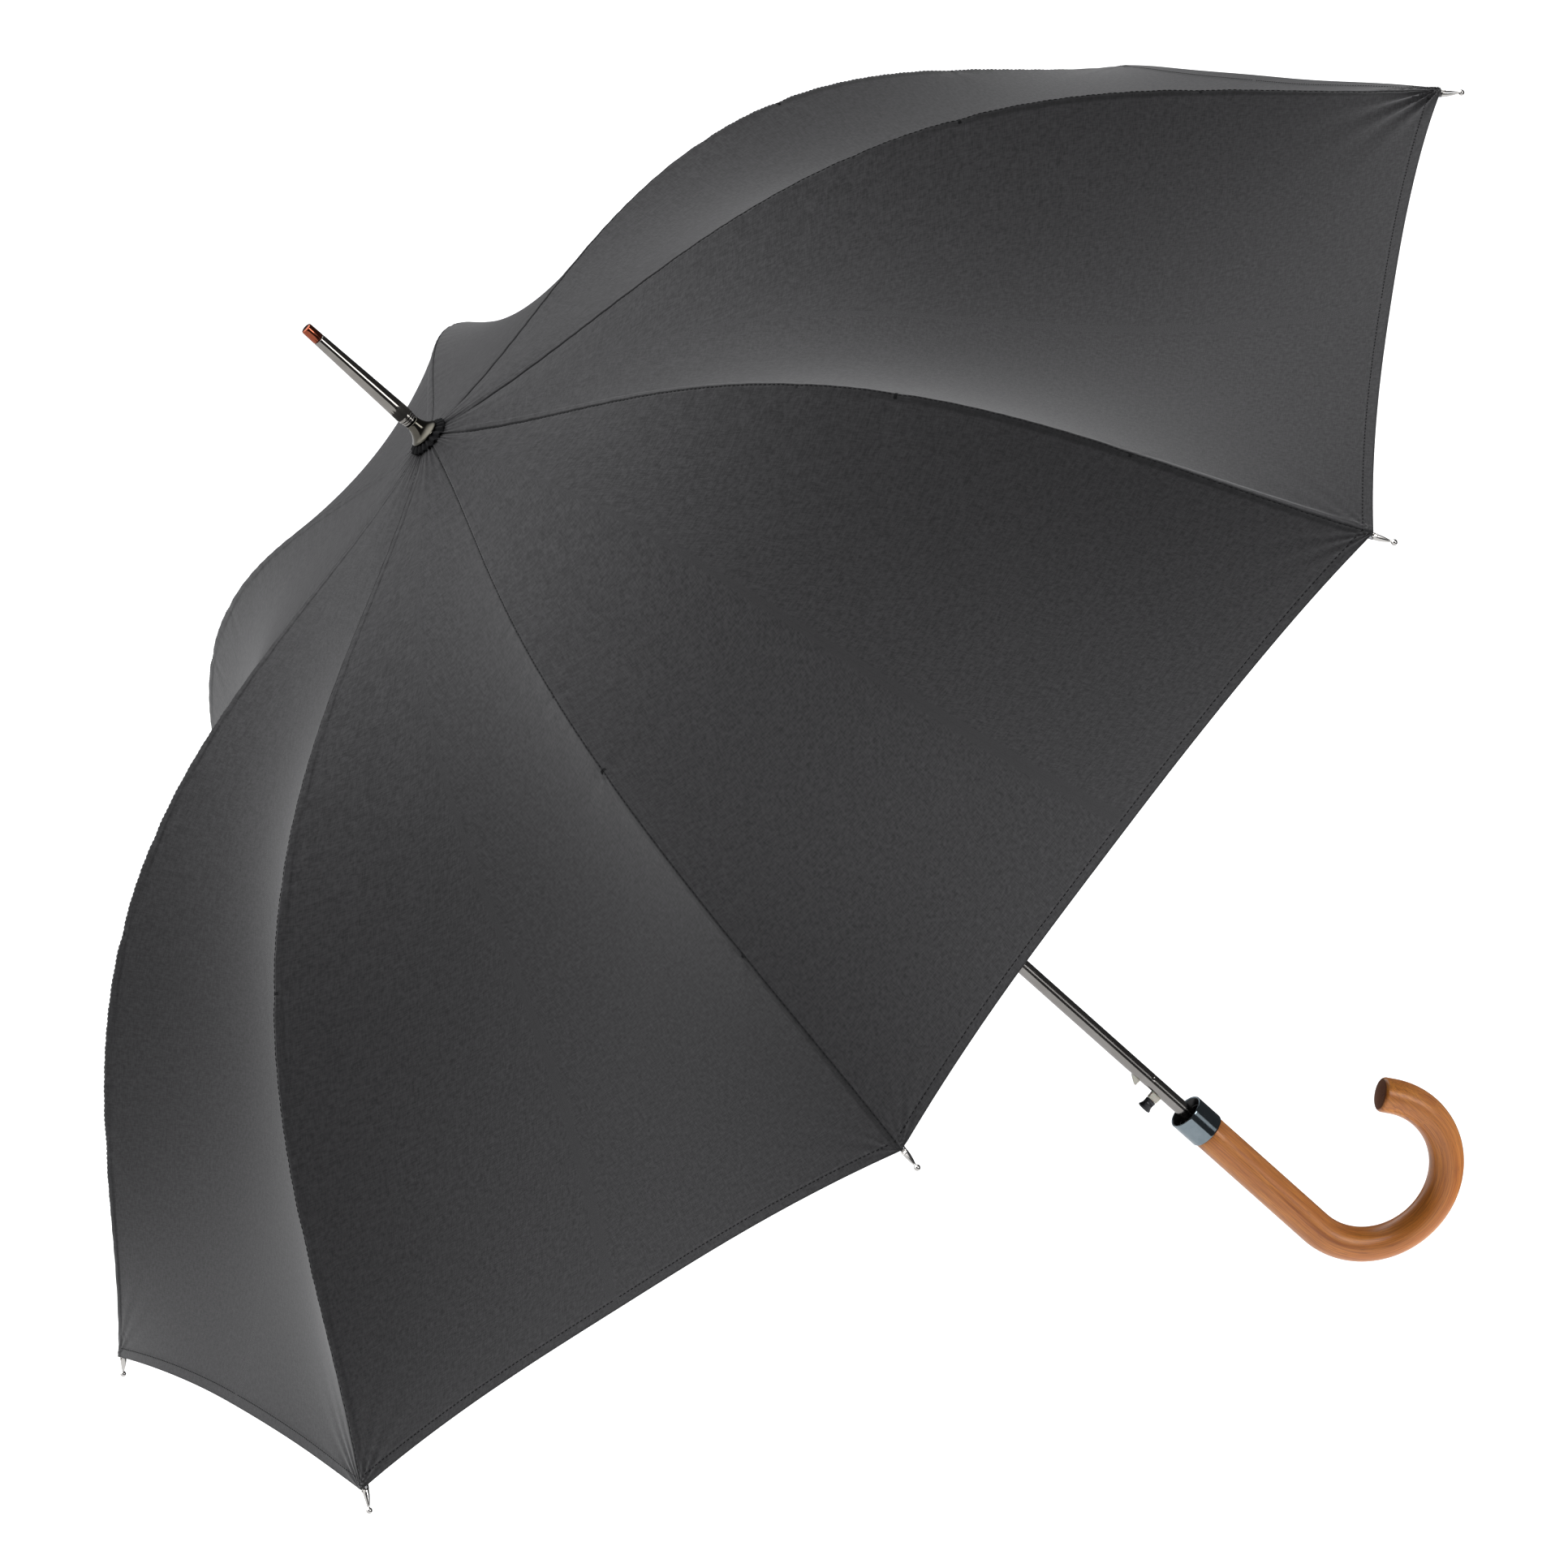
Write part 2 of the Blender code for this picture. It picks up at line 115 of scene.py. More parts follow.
def light_panel(tree, facing, direction, edge, full, strength):
    """A soft-edged light in the sky: full strength inside one cosine, none outside the other."""
    return ramp(tree, dot(tree, facing, Vector(direction).normalized()), edge, full, 0.0, strength)


def light_strip(tree, facing):
    """A tall narrow light that stands at one azimuth, and is dimmer low down."""
    ahead = (math.cos(STRIP_AZIMUTH), math.sin(STRIP_AZIMUTH), 0)
    aside = (-ahead[1], ahead[0], 0)
    off = math_node(tree, "ABSOLUTE", dot(tree, facing, aside))
    narrow = ramp(tree, off, STRIP_HALF * 1.3, STRIP_HALF, 0.0, STRIP_STRENGTH)
    front = light_panel(tree, facing, ahead, 0.85, 0.92, 1.0)
    height = add_node(tree, "SeparateXYZ", {"Vector": facing}).outputs["Z"]
    tall = ramp(tree, height, *STRIP_FOOT, FOOT_SHARE, 1.0, smooth=False)
    return math_node(tree, "MULTIPLY", math_node(tree, "MULTIPLY", narrow, front), tall)


def add_up(tree, *values):
    total = values[0]
    for value in values[1:]:
        total = math_node(tree, "ADD", total, value)
    return total


def studio():
    world = bpy.data.worlds.new("studio")
    world.use_nodes = True
    bpy.context.scene.world = world
    tree = world.node_tree
    facing = add_node(tree, "TexCoord").outputs["Generated"]
    path = add_node(tree, "LightPath").outputs
    mirrored = add_up(tree, light_panel(tree, facing, **WALL), light_strip(tree, facing))
    mirrored = math_node(tree, "MULTIPLY", mirrored, path["Is Glossy Ray"])
    light = add_up(tree, light_panel(tree, facing, **KEY), mirrored, FILL)
    backdrop = {"Factor": path["Is Camera Ray"], "A": light, "B": 1.0}
    shown = add_node(tree, "Mix", backdrop, data_type="FLOAT").outputs["Result"]
    tree.links.new(shown, tree.nodes["Background"].inputs["Strength"])
    tree.nodes["Background"].inputs["Color"].default_value = (0.985, 0.99, 1.0, 1)


def new_paint(name, **values):
    """A material, its nodes and its Principled shader, with plain values set on the shader."""
    made = bpy.data.materials.new(name)
    made.use_nodes = True
    shader = made.node_tree.nodes["Principled BSDF"]
    for socket, value in values.items():
        shader.inputs[socket.replace("_", " ")].default_value = value
    return made, made.node_tree, shader


def pale_floor():
    bm = bmesh.new()
    bmesh.ops.create_grid(bm, x_segments=4, y_segments=4, size=FLOOR_SIZE / 2)
    bmesh.ops.translate(bm, vec=(0, 0, FLOOR_Z), verts=bm.verts)
    mesh = bpy.data.meshes.new("floor")
    bm.to_mesh(mesh)
    bm.free()
    paint = {"Base_Color": (0.94, 0.94, 0.94, 1), "Roughness": 0.9}
    paint.update(Emission_Color=(1, 1, 1, 1), Emission_Strength=0.12)
    mesh.materials.append(new_paint("floor_paint", **paint)[0])
    floor = bpy.data.objects.new("floor", mesh)
    floor.visible_glossy = False
    bpy.context.scene.collection.objects.link(floor)


studio()
pale_floor()


# ---- Shaft. One drawn steel tube plated in gunmetal, with two windows on the button's side for the
# lever's tooth and stem, and a small punch mark opposite them that keeps the lever's pin in.
SHAFT_R, SHAFT_BORE_R = 0.0043, 0.0035
SHAFT_TOP, SHAFT_END = 0.0036, -0.664
TOOTH_WINDOW = (-0.5802, -0.5692)
BUTTON_WINDOW = (-0.5976, -0.5832)
WINDOW_HALF = 0.0016
CUT_OUTER, CUT_INNER = 0.006, 0.002
PUNCH_H, PUNCH_TURN, PUNCH_R, PUNCH_DEPTH = -0.5830, math.radians(-52), 0.0011, 0.0005


def new_group(name, inputs, outputs):
    """An empty node group with its sockets, and its input and output nodes."""
    group = bpy.data.node_groups.new(name, "ShaderNodeTree")
    for label, kind, value in inputs:
        socket = group.interface.new_socket(label, in_out="INPUT", socket_type="NodeSocket" + kind)
        socket.default_value = value
    for label, kind in outputs:
        group.interface.new_socket(label, in_out="OUTPUT", socket_type="NodeSocket" + kind)
    return group, group.nodes.new("NodeGroupInput").outputs, group.nodes.new("NodeGroupOutput").inputs


def noise(tree, place, scale, detail, **more):
    values = {"Vector": place, "Scale": scale, "Detail": detail, **more}
    return add_node(tree, "TexNoise", values).outputs["Fac"]


def drawn_noise(tree, place, fineness, detail, **more):
    """Noise that is drawn out: it is as fine along X, Y and Z as the fineness says."""
    lie = add_node(tree, "Mapping", {"Vector": place, "Scale": fineness}).outputs[0]
    return noise(tree, lie, 1.0, detail, **more)


def mixed(tree, factor, a, b, kind="MIX"):
    values = {"Factor": factor, "A": a, "B": b}
    return add_node(tree, "Mix", values, data_type="RGBA", blend_type=kind).outputs["Result"]


def bumped(tree, height, distance, strength):
    values = {"Height": height, "Distance": distance, "Strength": strength}
    return add_node(tree, "Bump", values).outputs[0]


def build_handling_group():
    """Fine draw lines, clouded patches and rubbed spots, as on a part that is handled and slid."""
    inputs = [("Color", "Color", (0.5, 0.5, 0.5, 1)), ("Rubbed", "Color", (0.6, 0.6, 0.6, 1))]
    inputs += [("Lines", "Vector", (900, 900, 40)), ("Patches", "Float", 60.0)]
    inputs += [("Dull", "Float", 0.2), ("Range", "Float", 0.1), ("Depth", "Float", 0.00002)]
    outputs = [("Color", "Color"), ("Roughness", "Float"), ("Normal", "Vector")]
    group, given, gives = new_group("handling", inputs, outputs)
    place = add_node(group, "TexCoord").outputs["Object"]
    lines = drawn_noise(group, place, given["Lines"], 3.0)
    cloud = noise(group, place, given["Patches"], 5.0, Roughness=0.6)
    rubbed = ramp(group, cloud, 0.42, 0.72, smooth=False)
    swing = math_node(group, "SUBTRACT", add_up(group, lines, cloud), 1.0)
    rough = math_node(group, "MULTIPLY_ADD", swing, given["Range"], given["Dull"])
    group.links.new(mixed(group, rubbed, given["Color"], given["Rubbed"]), gives["Color"])
    group.links.new(rough, gives["Roughness"])
    group.links.new(bumped(group, lines, given["Depth"], 0.5), gives["Normal"])
    return group


HANDLING = build_handling_group()


def handled(name, color, rubbed, dull, metallic, lines, spread, **sockets):
    """A metal or a moulded finish with the marks of the handling group over it."""
    made, tree, shader = new_paint(name, Metallic=metallic, **sockets)
    values = {"Color": (*color, 1), "Rubbed": (*rubbed, 1), "Lines": lines, "Dull": dull, "Range": spread}
    marks = add_node(tree, "Group", values, node_tree=HANDLING).outputs
    tree.links.new(marks["Color"], shader.inputs["Base Color"])
    tree.links.new(marks["Roughness"], shader.inputs["Roughness"])
    tree.links.new(marks["Normal"], shader.inputs["Normal"])
    return made


def draw_line(bm, places, closed=False):
    """A line of edges through places, as vertices and edges to spin or sweep."""
    points = [bm.verts.new(place) for place in places]
    pairs = list(zip(points, points[1:])) + ([(points[-1], points[0])] if closed else [])
    return points + [bm.edges.new(pair) for pair in pairs]


def spin_round(bm, geom, steps, cent=(0, 0, 0), axis=(0, 0, 1)):
    bmesh.ops.spin(bm, geom=geom, cent=cent, axis=axis, angle=math.tau, steps=steps, use_merge=True)


def close_up(bm):
    """Joins points that lie on each other and turns every face outward."""
    bmesh.ops.remove_doubles(bm, verts=bm.verts, dist=1e-7)
    bmesh.ops.recalc_face_normals(bm, faces=bm.faces)


def quarter_turn(bm, axis, verts):
    bmesh.ops.rotate(bm, cent=(0, 0, 0), matrix=Matrix.Rotation(math.pi / 2, 3, axis), verts=verts)


def verts_in(geom):
    return [v for v in geom if isinstance(v, bmesh.types.BMVert)]


def spin_outline(outline, closed, steps=64):
    """Spins an outline of (radius, h) points about the shaft's axis. A closed one makes a ring."""
    bm = bmesh.new()
    spin_round(bm, draw_line(bm, [(r, 0, CROWN_Z + h) for r, h in outline], closed), steps)
    close_up(bm)
    return bm


def add_piece(name, bm, coat, slot, body, *stands_for):
    """The finished mesh as a piece that rides on a body and stands for CAD nodes."""
    mesh = bpy.data.meshes.new(name)
    bm.to_mesh(mesh)
    bm.free()
    mesh.shade_smooth()
    mesh.materials.append(coat)
    piece = bpy.data.objects.new(name, mesh)
    bpy.context.scene.collection.objects.link(piece)
    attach(piece, body)
    if stands_for:
        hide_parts(*stands_for)
    return piece


def round_edges(piece, width, segments=2, angle=40):
    """A narrow rounding on every sharp edge."""
    edge = piece.modifiers.new("rounding", "BEVEL")
    edge.width = width
    edge.segments = segments
    edge.angle_limit = math.radians(angle)
    edge.harden_normals = True


def slot_cutter(window):
    """A block with round ends, to cut one window through the button's side of the tube."""
    low, high = (CROWN_Z + h for h in window)
    bm = bmesh.new()
    bmesh.ops.create_circle(bm, cap_ends=True, segments=24, radius=WINDOW_HALF)
    quarter_turn(bm, "Y", bm.verts)
    for v in bm.verts:
        v.co.z += high - WINDOW_HALF if v.co.z > 0 else low + WINDOW_HALF
    bmesh.ops.translate(bm, vec=(-CUT_OUTER, 0, 0), verts=bm.verts)
    walls = bmesh.ops.extrude_face_region(bm, geom=bm.faces[:])["geom"]
    bmesh.ops.translate(bm, vec=(CUT_OUTER - CUT_INNER, 0, 0), verts=verts_in(walls))
    bmesh.ops.recalc_face_normals(bm, faces=bm.faces)
    mesh = bpy.data.meshes.new("cutter")
    bm.to_mesh(mesh)
    bm.free()
    return bpy.data.objects.new("cutter", mesh)


def cut_windows(piece, windows):
    """Cuts the windows with exact Booleans and keeps only the cut mesh."""
    cutters = [slot_cutter(window) for window in windows]
    for cutter in cutters:
        bpy.context.scene.collection.objects.link(cutter)
        cut = piece.modifiers.new("window", "BOOLEAN")
        cut.operation, cut.solver, cut.object = "DIFFERENCE", "EXACT", cutter
    seen = piece.evaluated_get(bpy.context.evaluated_depsgraph_get())
    whole = piece.data
    piece.data = bpy.data.meshes.new_from_object(seen)
    piece.data.name = whole.name
    piece.modifiers.clear()
    for cutter in cutters:
        bpy.data.objects.remove(cutter, do_unlink=True)


def shaft_tube():
    """A ring outline with closer rows near the windows, where the punch mark dents the wall."""
    rows = [SHAFT_TOP, -0.10, -0.25, -0.40, -0.56]
    rows += [PUNCH_H + PUNCH_R * (1.8 - 0.3 * n) for n in range(13)]
    rows += [-0.60, SHAFT_END]
    outline = [(SHAFT_R, h) for h in rows] + [(SHAFT_BORE_R, SHAFT_END), (SHAFT_BORE_R, SHAFT_TOP)]
    bm = spin_outline(outline, closed=True, steps=96)
    dent = Vector((SHAFT_R * math.cos(PUNCH_TURN), SHAFT_R * math.sin(PUNCH_TURN), CROWN_Z + PUNCH_H))
    for v in bm.verts:
        away = (v.co - dent).length / PUNCH_R
        if away < 2 and v.co.xy.length > SHAFT_R - 1e-5:
            v.co.xy *= 1 - PUNCH_DEPTH / SHAFT_R * math.exp(-away * away * 1.5)
    coat = handled(
        "gunmetal_tube", (0.30, 0.285, 0.27), (0.36, 0.345, 0.33), 0.15, 1.0, (900, 900, 14), 0.09
    )
    tube = add_piece("shaft_tube_drawn", bm, coat, "gunmetal", "stick", "shaft_tube")
    cut_windows(tube, (TOOTH_WINDOW, BUTTON_WINDOW))
    tube.data.set_sharp_from_angle(angle=math.radians(35))


shaft_tube()


# ---- Ferrule. A slim machined spike in black nickel over the top of the tube, with turned rings at
# its neck, a see-through amber-red end cap that looks like polished copper, and a bell washer.
NECK_RINGS = ((0.0156, 0.0046), (0.0140, 0.0043), (0.0126, 0.0042))
TIP_R, FOOT_R, TAPER_TOP, TAPER_END = 0.00347, 0.00475, 0.0815, 0.0175
CUP_TOP, CUP_TALL, CUP_NECK, CUP_FLARE, FLARE_TURN = 0.0112, 0.0092, 0.0041, 0.0046, 1.1


def bead(h, radius, half=0.00055, sink=0.0004, points=5):
    """Points down one small round turned bead."""
    turn = [math.pi * n / (points - 1) for n in range(points)]
    return [(radius - sink + sink * math.sin(a), h + half * math.cos(a)) for a in turn]


def ferrule():
    black_nickel = handled(
        "black_nickel", (0.27, 0.255, 0.235), (0.33, 0.31, 0.29), 0.07, 1.0, (700, 700, 10), 0.05
    )
    copper = handled(
        "copper_cap", (0.32, 0.082, 0.042), (0.38, 0.11, 0.060), 0.07, 1.0, (300, 300, 300), 0.04
    )
    dark_nickel = handled(
        "dark_nickel", (0.085, 0.080, 0.066), (0.14, 0.13, 0.11), 0.12, 1.0, (700, 700, 700), 0.05
    )
    spike = [(0, 0.0821), (0.0024, 0.0821), (0.00338, 0.0819), (TIP_R, TAPER_TOP)]
    spike += [
        (TIP_R + (FOOT_R - TIP_R) * n / 8, TAPER_TOP + (TAPER_END - TAPER_TOP) * n / 8) for n in range(1, 9)
    ]
    for h, radius in NECK_RINGS:
        spike += bead(h, radius)
    spike += [(0.0034, 0.0118), (0.0032, 0.0110), (0.0032, -0.0200), (0, -0.0200)]
    spun = spin_outline(spike, False)
    add_piece("ferrule_spike_turned", spun, black_nickel, "gunmetal", "stick", "ferrule_spike")

    cap = [(0, 0.0919), (0.0016, 0.0919), (0.0025, 0.09185), (0.0030, 0.0916), (0.00325, 0.0911)]
    cap += [(0.0033, 0.0900), (0.00345, 0.0826), (0.00336, 0.08235), (0.0027, 0.08235), (0, 0.08235)]
    add_piece("ferrule_cap_polished", spin_outline(cap, False), copper, "copper", "stick", "ferrule_cap")

    flare = [FLARE_TURN * n / 10 for n in range(11)]
    wide, tall = CUP_FLARE / (1 - math.cos(FLARE_TURN)), CUP_TALL / math.sin(FLARE_TURN)
    cup = [(CUP_NECK + wide * (1 - math.cos(a)), CUP_TOP - tall * math.sin(a)) for a in flare]
    cup += [(0.00885, 0.0017), (0.00885, 0.0013), (0.0086, 0.0011), (0.0080, 0.0013)]
    cup += [(0.0064, 0.0030), (0.0049, 0.0056), (0.0038, 0.0090), (0.0036, 0.0112)]
    spun = spin_outline(cup, True)
    add_piece("ferrule_cup_turned", spun, dark_nickel, "gunmetal", "stick", "ferrule_cup")


ferrule()


# ---- Crown rosette. A gathered disc of the canopy's own black cloth under the bell washer, which
# keeps the rain off the crown's hole. It is pleated by its gathering thread.
ROSETTE_R, ROSETTE_PLEATS = 0.0124, 18


def trim_cloth(name):
    made, tree, shader = new_paint(name, Roughness=0.85, Specular_IOR_Level=0.15)
    thread = noise(tree, add_node(tree, "TexCoord").outputs["Object"], 2600.0, 2.0)
    color = mixed(tree, thread, (0.004, 0.004, 0.0045, 1), (0.016, 0.016, 0.017, 1))
    tree.links.new(color, shader.inputs["Base Color"])
    tree.links.new(bumped(tree, thread, 0.00008, 0.6), shader.inputs["Normal"])
    return made


def rosette():
    bm = bmesh.new()
    rings = [0.0047, 0.0060, 0.0072, 0.0083, 0.0092, 0.0101, 0.0109, 0.0117, ROSETTE_R]
    spin_round(bm, draw_line(bm, [(r, 0, 0) for r in rings]), ROSETTE_PLEATS * 8)
    bmesh.ops.remove_doubles(bm, verts=bm.verts, dist=1e-7)
    for v in bm.verts:
        out = max(v.co.xy.length - rings[0], 0) / (ROSETTE_R - rings[0])
        angle = math.atan2(v.co.y, v.co.x)
        fold = math.cos(ROSETTE_PLEATS * angle + 1.1 * math.sin(3 * angle))
        drop = 0.0008 - 0.0030 * out**2.2
        v.co.z = CROWN_Z + drop + 0.0011 * out * fold
        v.co.xy *= 1 + 0.035 * out * fold
    bmesh.ops.recalc_face_normals(bm, faces=bm.faces)
    cloth_coat = trim_cloth("rosette_cloth")
    piece = add_piece("crown_rosette_pleated", bm, cloth_coat, "trim", "stick", "crown_rosette")
    wall = piece.modifiers.new("cloth", "SOLIDIFY")
    wall.thickness = 0.0004
    wall.offset = 0


rosette()


# ---- Handle. The collar is a plated steel cup over the wood's spigot, with a black bush inside that
# centres the tube. The crook is one length of round cherry, steamed, bent and lacquered.
COLLAR_R, COLLAR_TOP, COLLAR_END = 0.01105, -0.6135, -0.6320
WOOD_R, BEND_Z, BEND_R = 0.0102, -0.7250, 0.0460
BEND, TAIL = math.radians(210.0), 0.0085


def collar():
    plate = handled(
        "collar_plate", (0.235, 0.285, 0.315), (0.30, 0.35, 0.38), 0.10, 1.0, (500, 500, 500), 0.06
    )
    r, inner = COLLAR_R, 0.0101
    lip = [(inner, COLLAR_TOP - 0.0004), (inner + 0.0002, COLLAR_TOP - 0.0001), (inner + 0.0005, COLLAR_TOP)]
    lip += [(r - 0.0002, COLLAR_TOP - 0.0001), (r, COLLAR_TOP - 0.0005), (r, COLLAR_TOP - 0.0009)]
    outline = lip + [(r, COLLAR_END + 0.0010), (r, COLLAR_END + 0.0006), (r - 0.0002, COLLAR_END + 0.0001)]
    outline += [(inner, COLLAR_END), (inner, COLLAR_END + 0.0004), (inner, COLLAR_TOP - 0.0008)]
    spun = spin_outline(outline, True, 96)
    add_piece("collar_plated", spun, plate, "gunmetal", "stick", "handle_collar")

    dark = handled(
        "bush_plastic", (0.006, 0.006, 0.0065), (0.014, 0.014, 0.015), 0.22, 0.0, (600, 600, 600), 0.1
    )
    lining = [(0.0046, -0.6203), (0.0056, -0.6198), (0.0092, -0.6196), (0.0098, -0.6190)]
    lining += [(0.0098, -0.6142), (0.01005, -0.6140), (0.01005, -0.6250), (0.0046, -0.6250)]
    spun = spin_outline(lining, True)
    add_piece("collar_bush_moulded", spun, dark, "black_plastic", "stick", "collar_bush")


def grain_of(place):
    """Where a point lay in the straight stick before it was bent: across, across, along."""
    height = place.z - CROWN_Z
    if height >= BEND_Z:
        return (place.x, place.y, height)
    out = Vector((place.x - BEND_R, height - BEND_Z))
    angle = math.atan2(-out.y, -out.x) % math.tau
    angle = angle if angle < BEND + 0.6 else angle - math.tau
    return (BEND_R - out.length, place.y, BEND_Z - BEND_R * angle)


def cherry():
    """Lacquered cherry: long fine grain, broad amber bands, pores and a few reddish mineral streaks."""
    made, tree, shader = new_paint("cherry_wood", Coat_Roughness=0.30)
    stick = add_node(tree, "Attribute", attribute_name="grain").outputs["Vector"]

    band = drawn_noise(tree, stick, (170, 170, 9), 5.0, Roughness=0.6, Distortion=0.4)
    fibre = drawn_noise(tree, stick, (1500, 1500, 42), 3.0, Roughness=0.55)
    streak = drawn_noise(tree, stick, (260, 260, 16), 3.0, Roughness=0.5, Distortion=1.2)
    pore = drawn_noise(tree, stick, (2600, 2600, 170), 2.0, Roughness=0.55)
    color = (0.62, 0.195, 0.029, 1)
    for pattern, low, high, most, tone in (
        (band, 0.30, 0.70, 1.0, (0.86, 0.340, 0.060, 1)),
        (fibre, 0.40, 0.70, 0.80, (0.42, 0.112, 0.020, 1)),
        (streak, 0.60, 0.76, 0.75, (0.27, 0.052, 0.016, 1)),
        (pore, 0.62, 0.76, 0.60, (0.13, 0.035, 0.012, 1)),
    ):
        color = mixed(tree, ramp(tree, pattern, low, high, 0.0, most, smooth=False), color, tone)
    end = add_node(tree, "Attribute", attribute_name="end_grain").outputs["Fac"]
    tree.links.new(mixed(tree, end, color, (0.10, 0.028, 0.012, 1)), shader.inputs["Base Color"])
    polish = ramp(tree, band, 0.0, 1.0, 0.30, 0.42, smooth=False)
    tree.links.new(math_node(tree, "MAXIMUM", polish, end), shader.inputs["Roughness"])
    thin = ramp(tree, end, 0.0, 1.0, 0.35, 0.0, smooth=False)
    tree.links.new(thin, shader.inputs["Coat Weight"])
    tree.links.new(bumped(tree, fibre, 0.00005, 0.35), shader.inputs["Normal"])
    return made


def crook():
    """The spigot and bore are spun, the straight grip is drawn down, and its end ring is spun round
    the bend, drawn out by the tail and drawn in over a rounded end."""
    bm = bmesh.new()
    bore = 0.0046
    top = [(0, -0.6670), (bore, -0.6670), (bore, -0.6256), (0.0052, -0.6250), (0.0092, -0.6250)]
    top += [(0.0097, -0.6256), (0.0097, -0.6322), (WOOD_R - 0.0002, -0.6322), (WOOD_R, -0.6326)]
    top += [(WOOD_R, -0.6326 + (BEND_Z + 0.6326) * n / 12) for n in range(1, 13)]
    spin_round(bm, draw_line(bm, [(r, 0, CROWN_Z + h) for r, h in top]), 64)
    bmesh.ops.remove_doubles(bm, verts=bm.verts, dist=1e-7)
    low = CROWN_Z + BEND_Z
    ring = [e for e in bm.edges if e.is_boundary and all(abs(v.co.z - low) < 1e-6 for v in e.verts)]
    bend = {"cent": (BEND_R, 0, low), "axis": (0, -1, 0), "angle": BEND, "steps": 90}
    last = bmesh.ops.spin(bm, geom=ring, **bend)["geom_last"]
    ring = [e for e in last if isinstance(e, bmesh.types.BMEdge)]
    along = Vector((math.sin(BEND), 0, -math.cos(BEND)))
    out = Vector((math.cos(BEND), 0, math.sin(BEND)))
    centre = Vector((BEND_R, 0, low)) - BEND_R * out
    radius, reach = WOOD_R, 0.0
    quarter = [math.pi / 2 * n / 8 for n in range(9)]
    rounding = [
        (WOOD_R - 0.0030 * (1 - math.cos(a)), TAIL - 0.0036 + 0.0026 * math.sin(a)) for a in quarter
    ]
    rounding += [(0.0050, TAIL - 0.0004), (0.0025, TAIL)]
    for wide, far in rounding:
        made = bmesh.ops.extrude_edge_only(bm, edges=ring)["geom"]
        verts = verts_in(made)
        ring = [e for e in made if isinstance(e, bmesh.types.BMEdge) and e.is_boundary]
        for v in verts:
            v.co = centre + (v.co - centre - along * reach) * wide / radius + along * far
        radius, reach = wide, far
    bmesh.ops.contextual_create(bm, geom=ring)
    bmesh.ops.remove_doubles(bm, verts=bm.verts, dist=1e-6)
    bmesh.ops.recalc_face_normals(bm, faces=bm.faces)
    grain = bm.verts.layers.float_vector.new("grain")
    end = bm.verts.layers.float.new("end_grain")
    for v in bm.verts:
        v[grain] = grain_of(v.co)
        past = v.co - centre - along * TAIL
        v[end] = 0.85 if past.length < 0.0125 and past.dot(along) > -0.0016 else 0.0
    add_piece("crook_bent", bm, cherry(), "wood", "stick", "crook_handle")


collar()
crook()


# ---- Release. One nylon lever inside the tube carries the catch's tooth and the stem of the
# button, and a black waisted cap with a domed face is pressed on the stem.
LEVER_HALF = 0.0013
CAP_H = -0.5930


def cream_nylon():
    return handled(
        "cream_nylon", (0.70, 0.68, 0.58), (0.76, 0.74, 0.64), 0.42, 0.0, (500, 500, 500), 0.12,
        Subsurface_Weight=0.12, Subsurface_Scale=0.002,
    )


def release_lever(coat):
    """The lever's side view, with the tooth's back hollowed to a hook, drawn out to its width."""
    side = [(-0.0014, -0.6080), (-0.0029, -0.6080), (-0.0029, -0.5965), (-0.0080, -0.5962)]
    side += [(-0.0080, -0.5898), (-0.0029, -0.5895), (-0.0029, -0.5790), (-0.0066, -0.5788)]
    side += [(-0.0077, -0.5788), (-0.0079, -0.5783)]
    back = [(n / 6, math.sin(math.pi / 2 * n / 6)) for n in range(1, 7)]
    side += [(-0.0079 + 0.0050 * a, -0.5783 + 0.0069 * (0.35 * a + 0.65 * b)) for a, b in back]
    side += [(-0.0014, -0.5714)]
    bm = bmesh.new()
    face = bm.faces.new([bm.verts.new((x, -LEVER_HALF, CROWN_Z + h)) for x, h in side])
    made = bmesh.ops.extrude_face_region(bm, geom=[face], use_keep_orig=True)["geom"]
    far = verts_in(made)
    bmesh.ops.translate(bm, vec=(0, 2 * LEVER_HALF, 0), verts=far)
    bmesh.ops.recalc_face_normals(bm, faces=bm.faces)
    piece = add_piece("release_lever_moulded", bm, coat, "cream_nylon", "release", "release_lever")
    round_edges(piece, 0.00022)


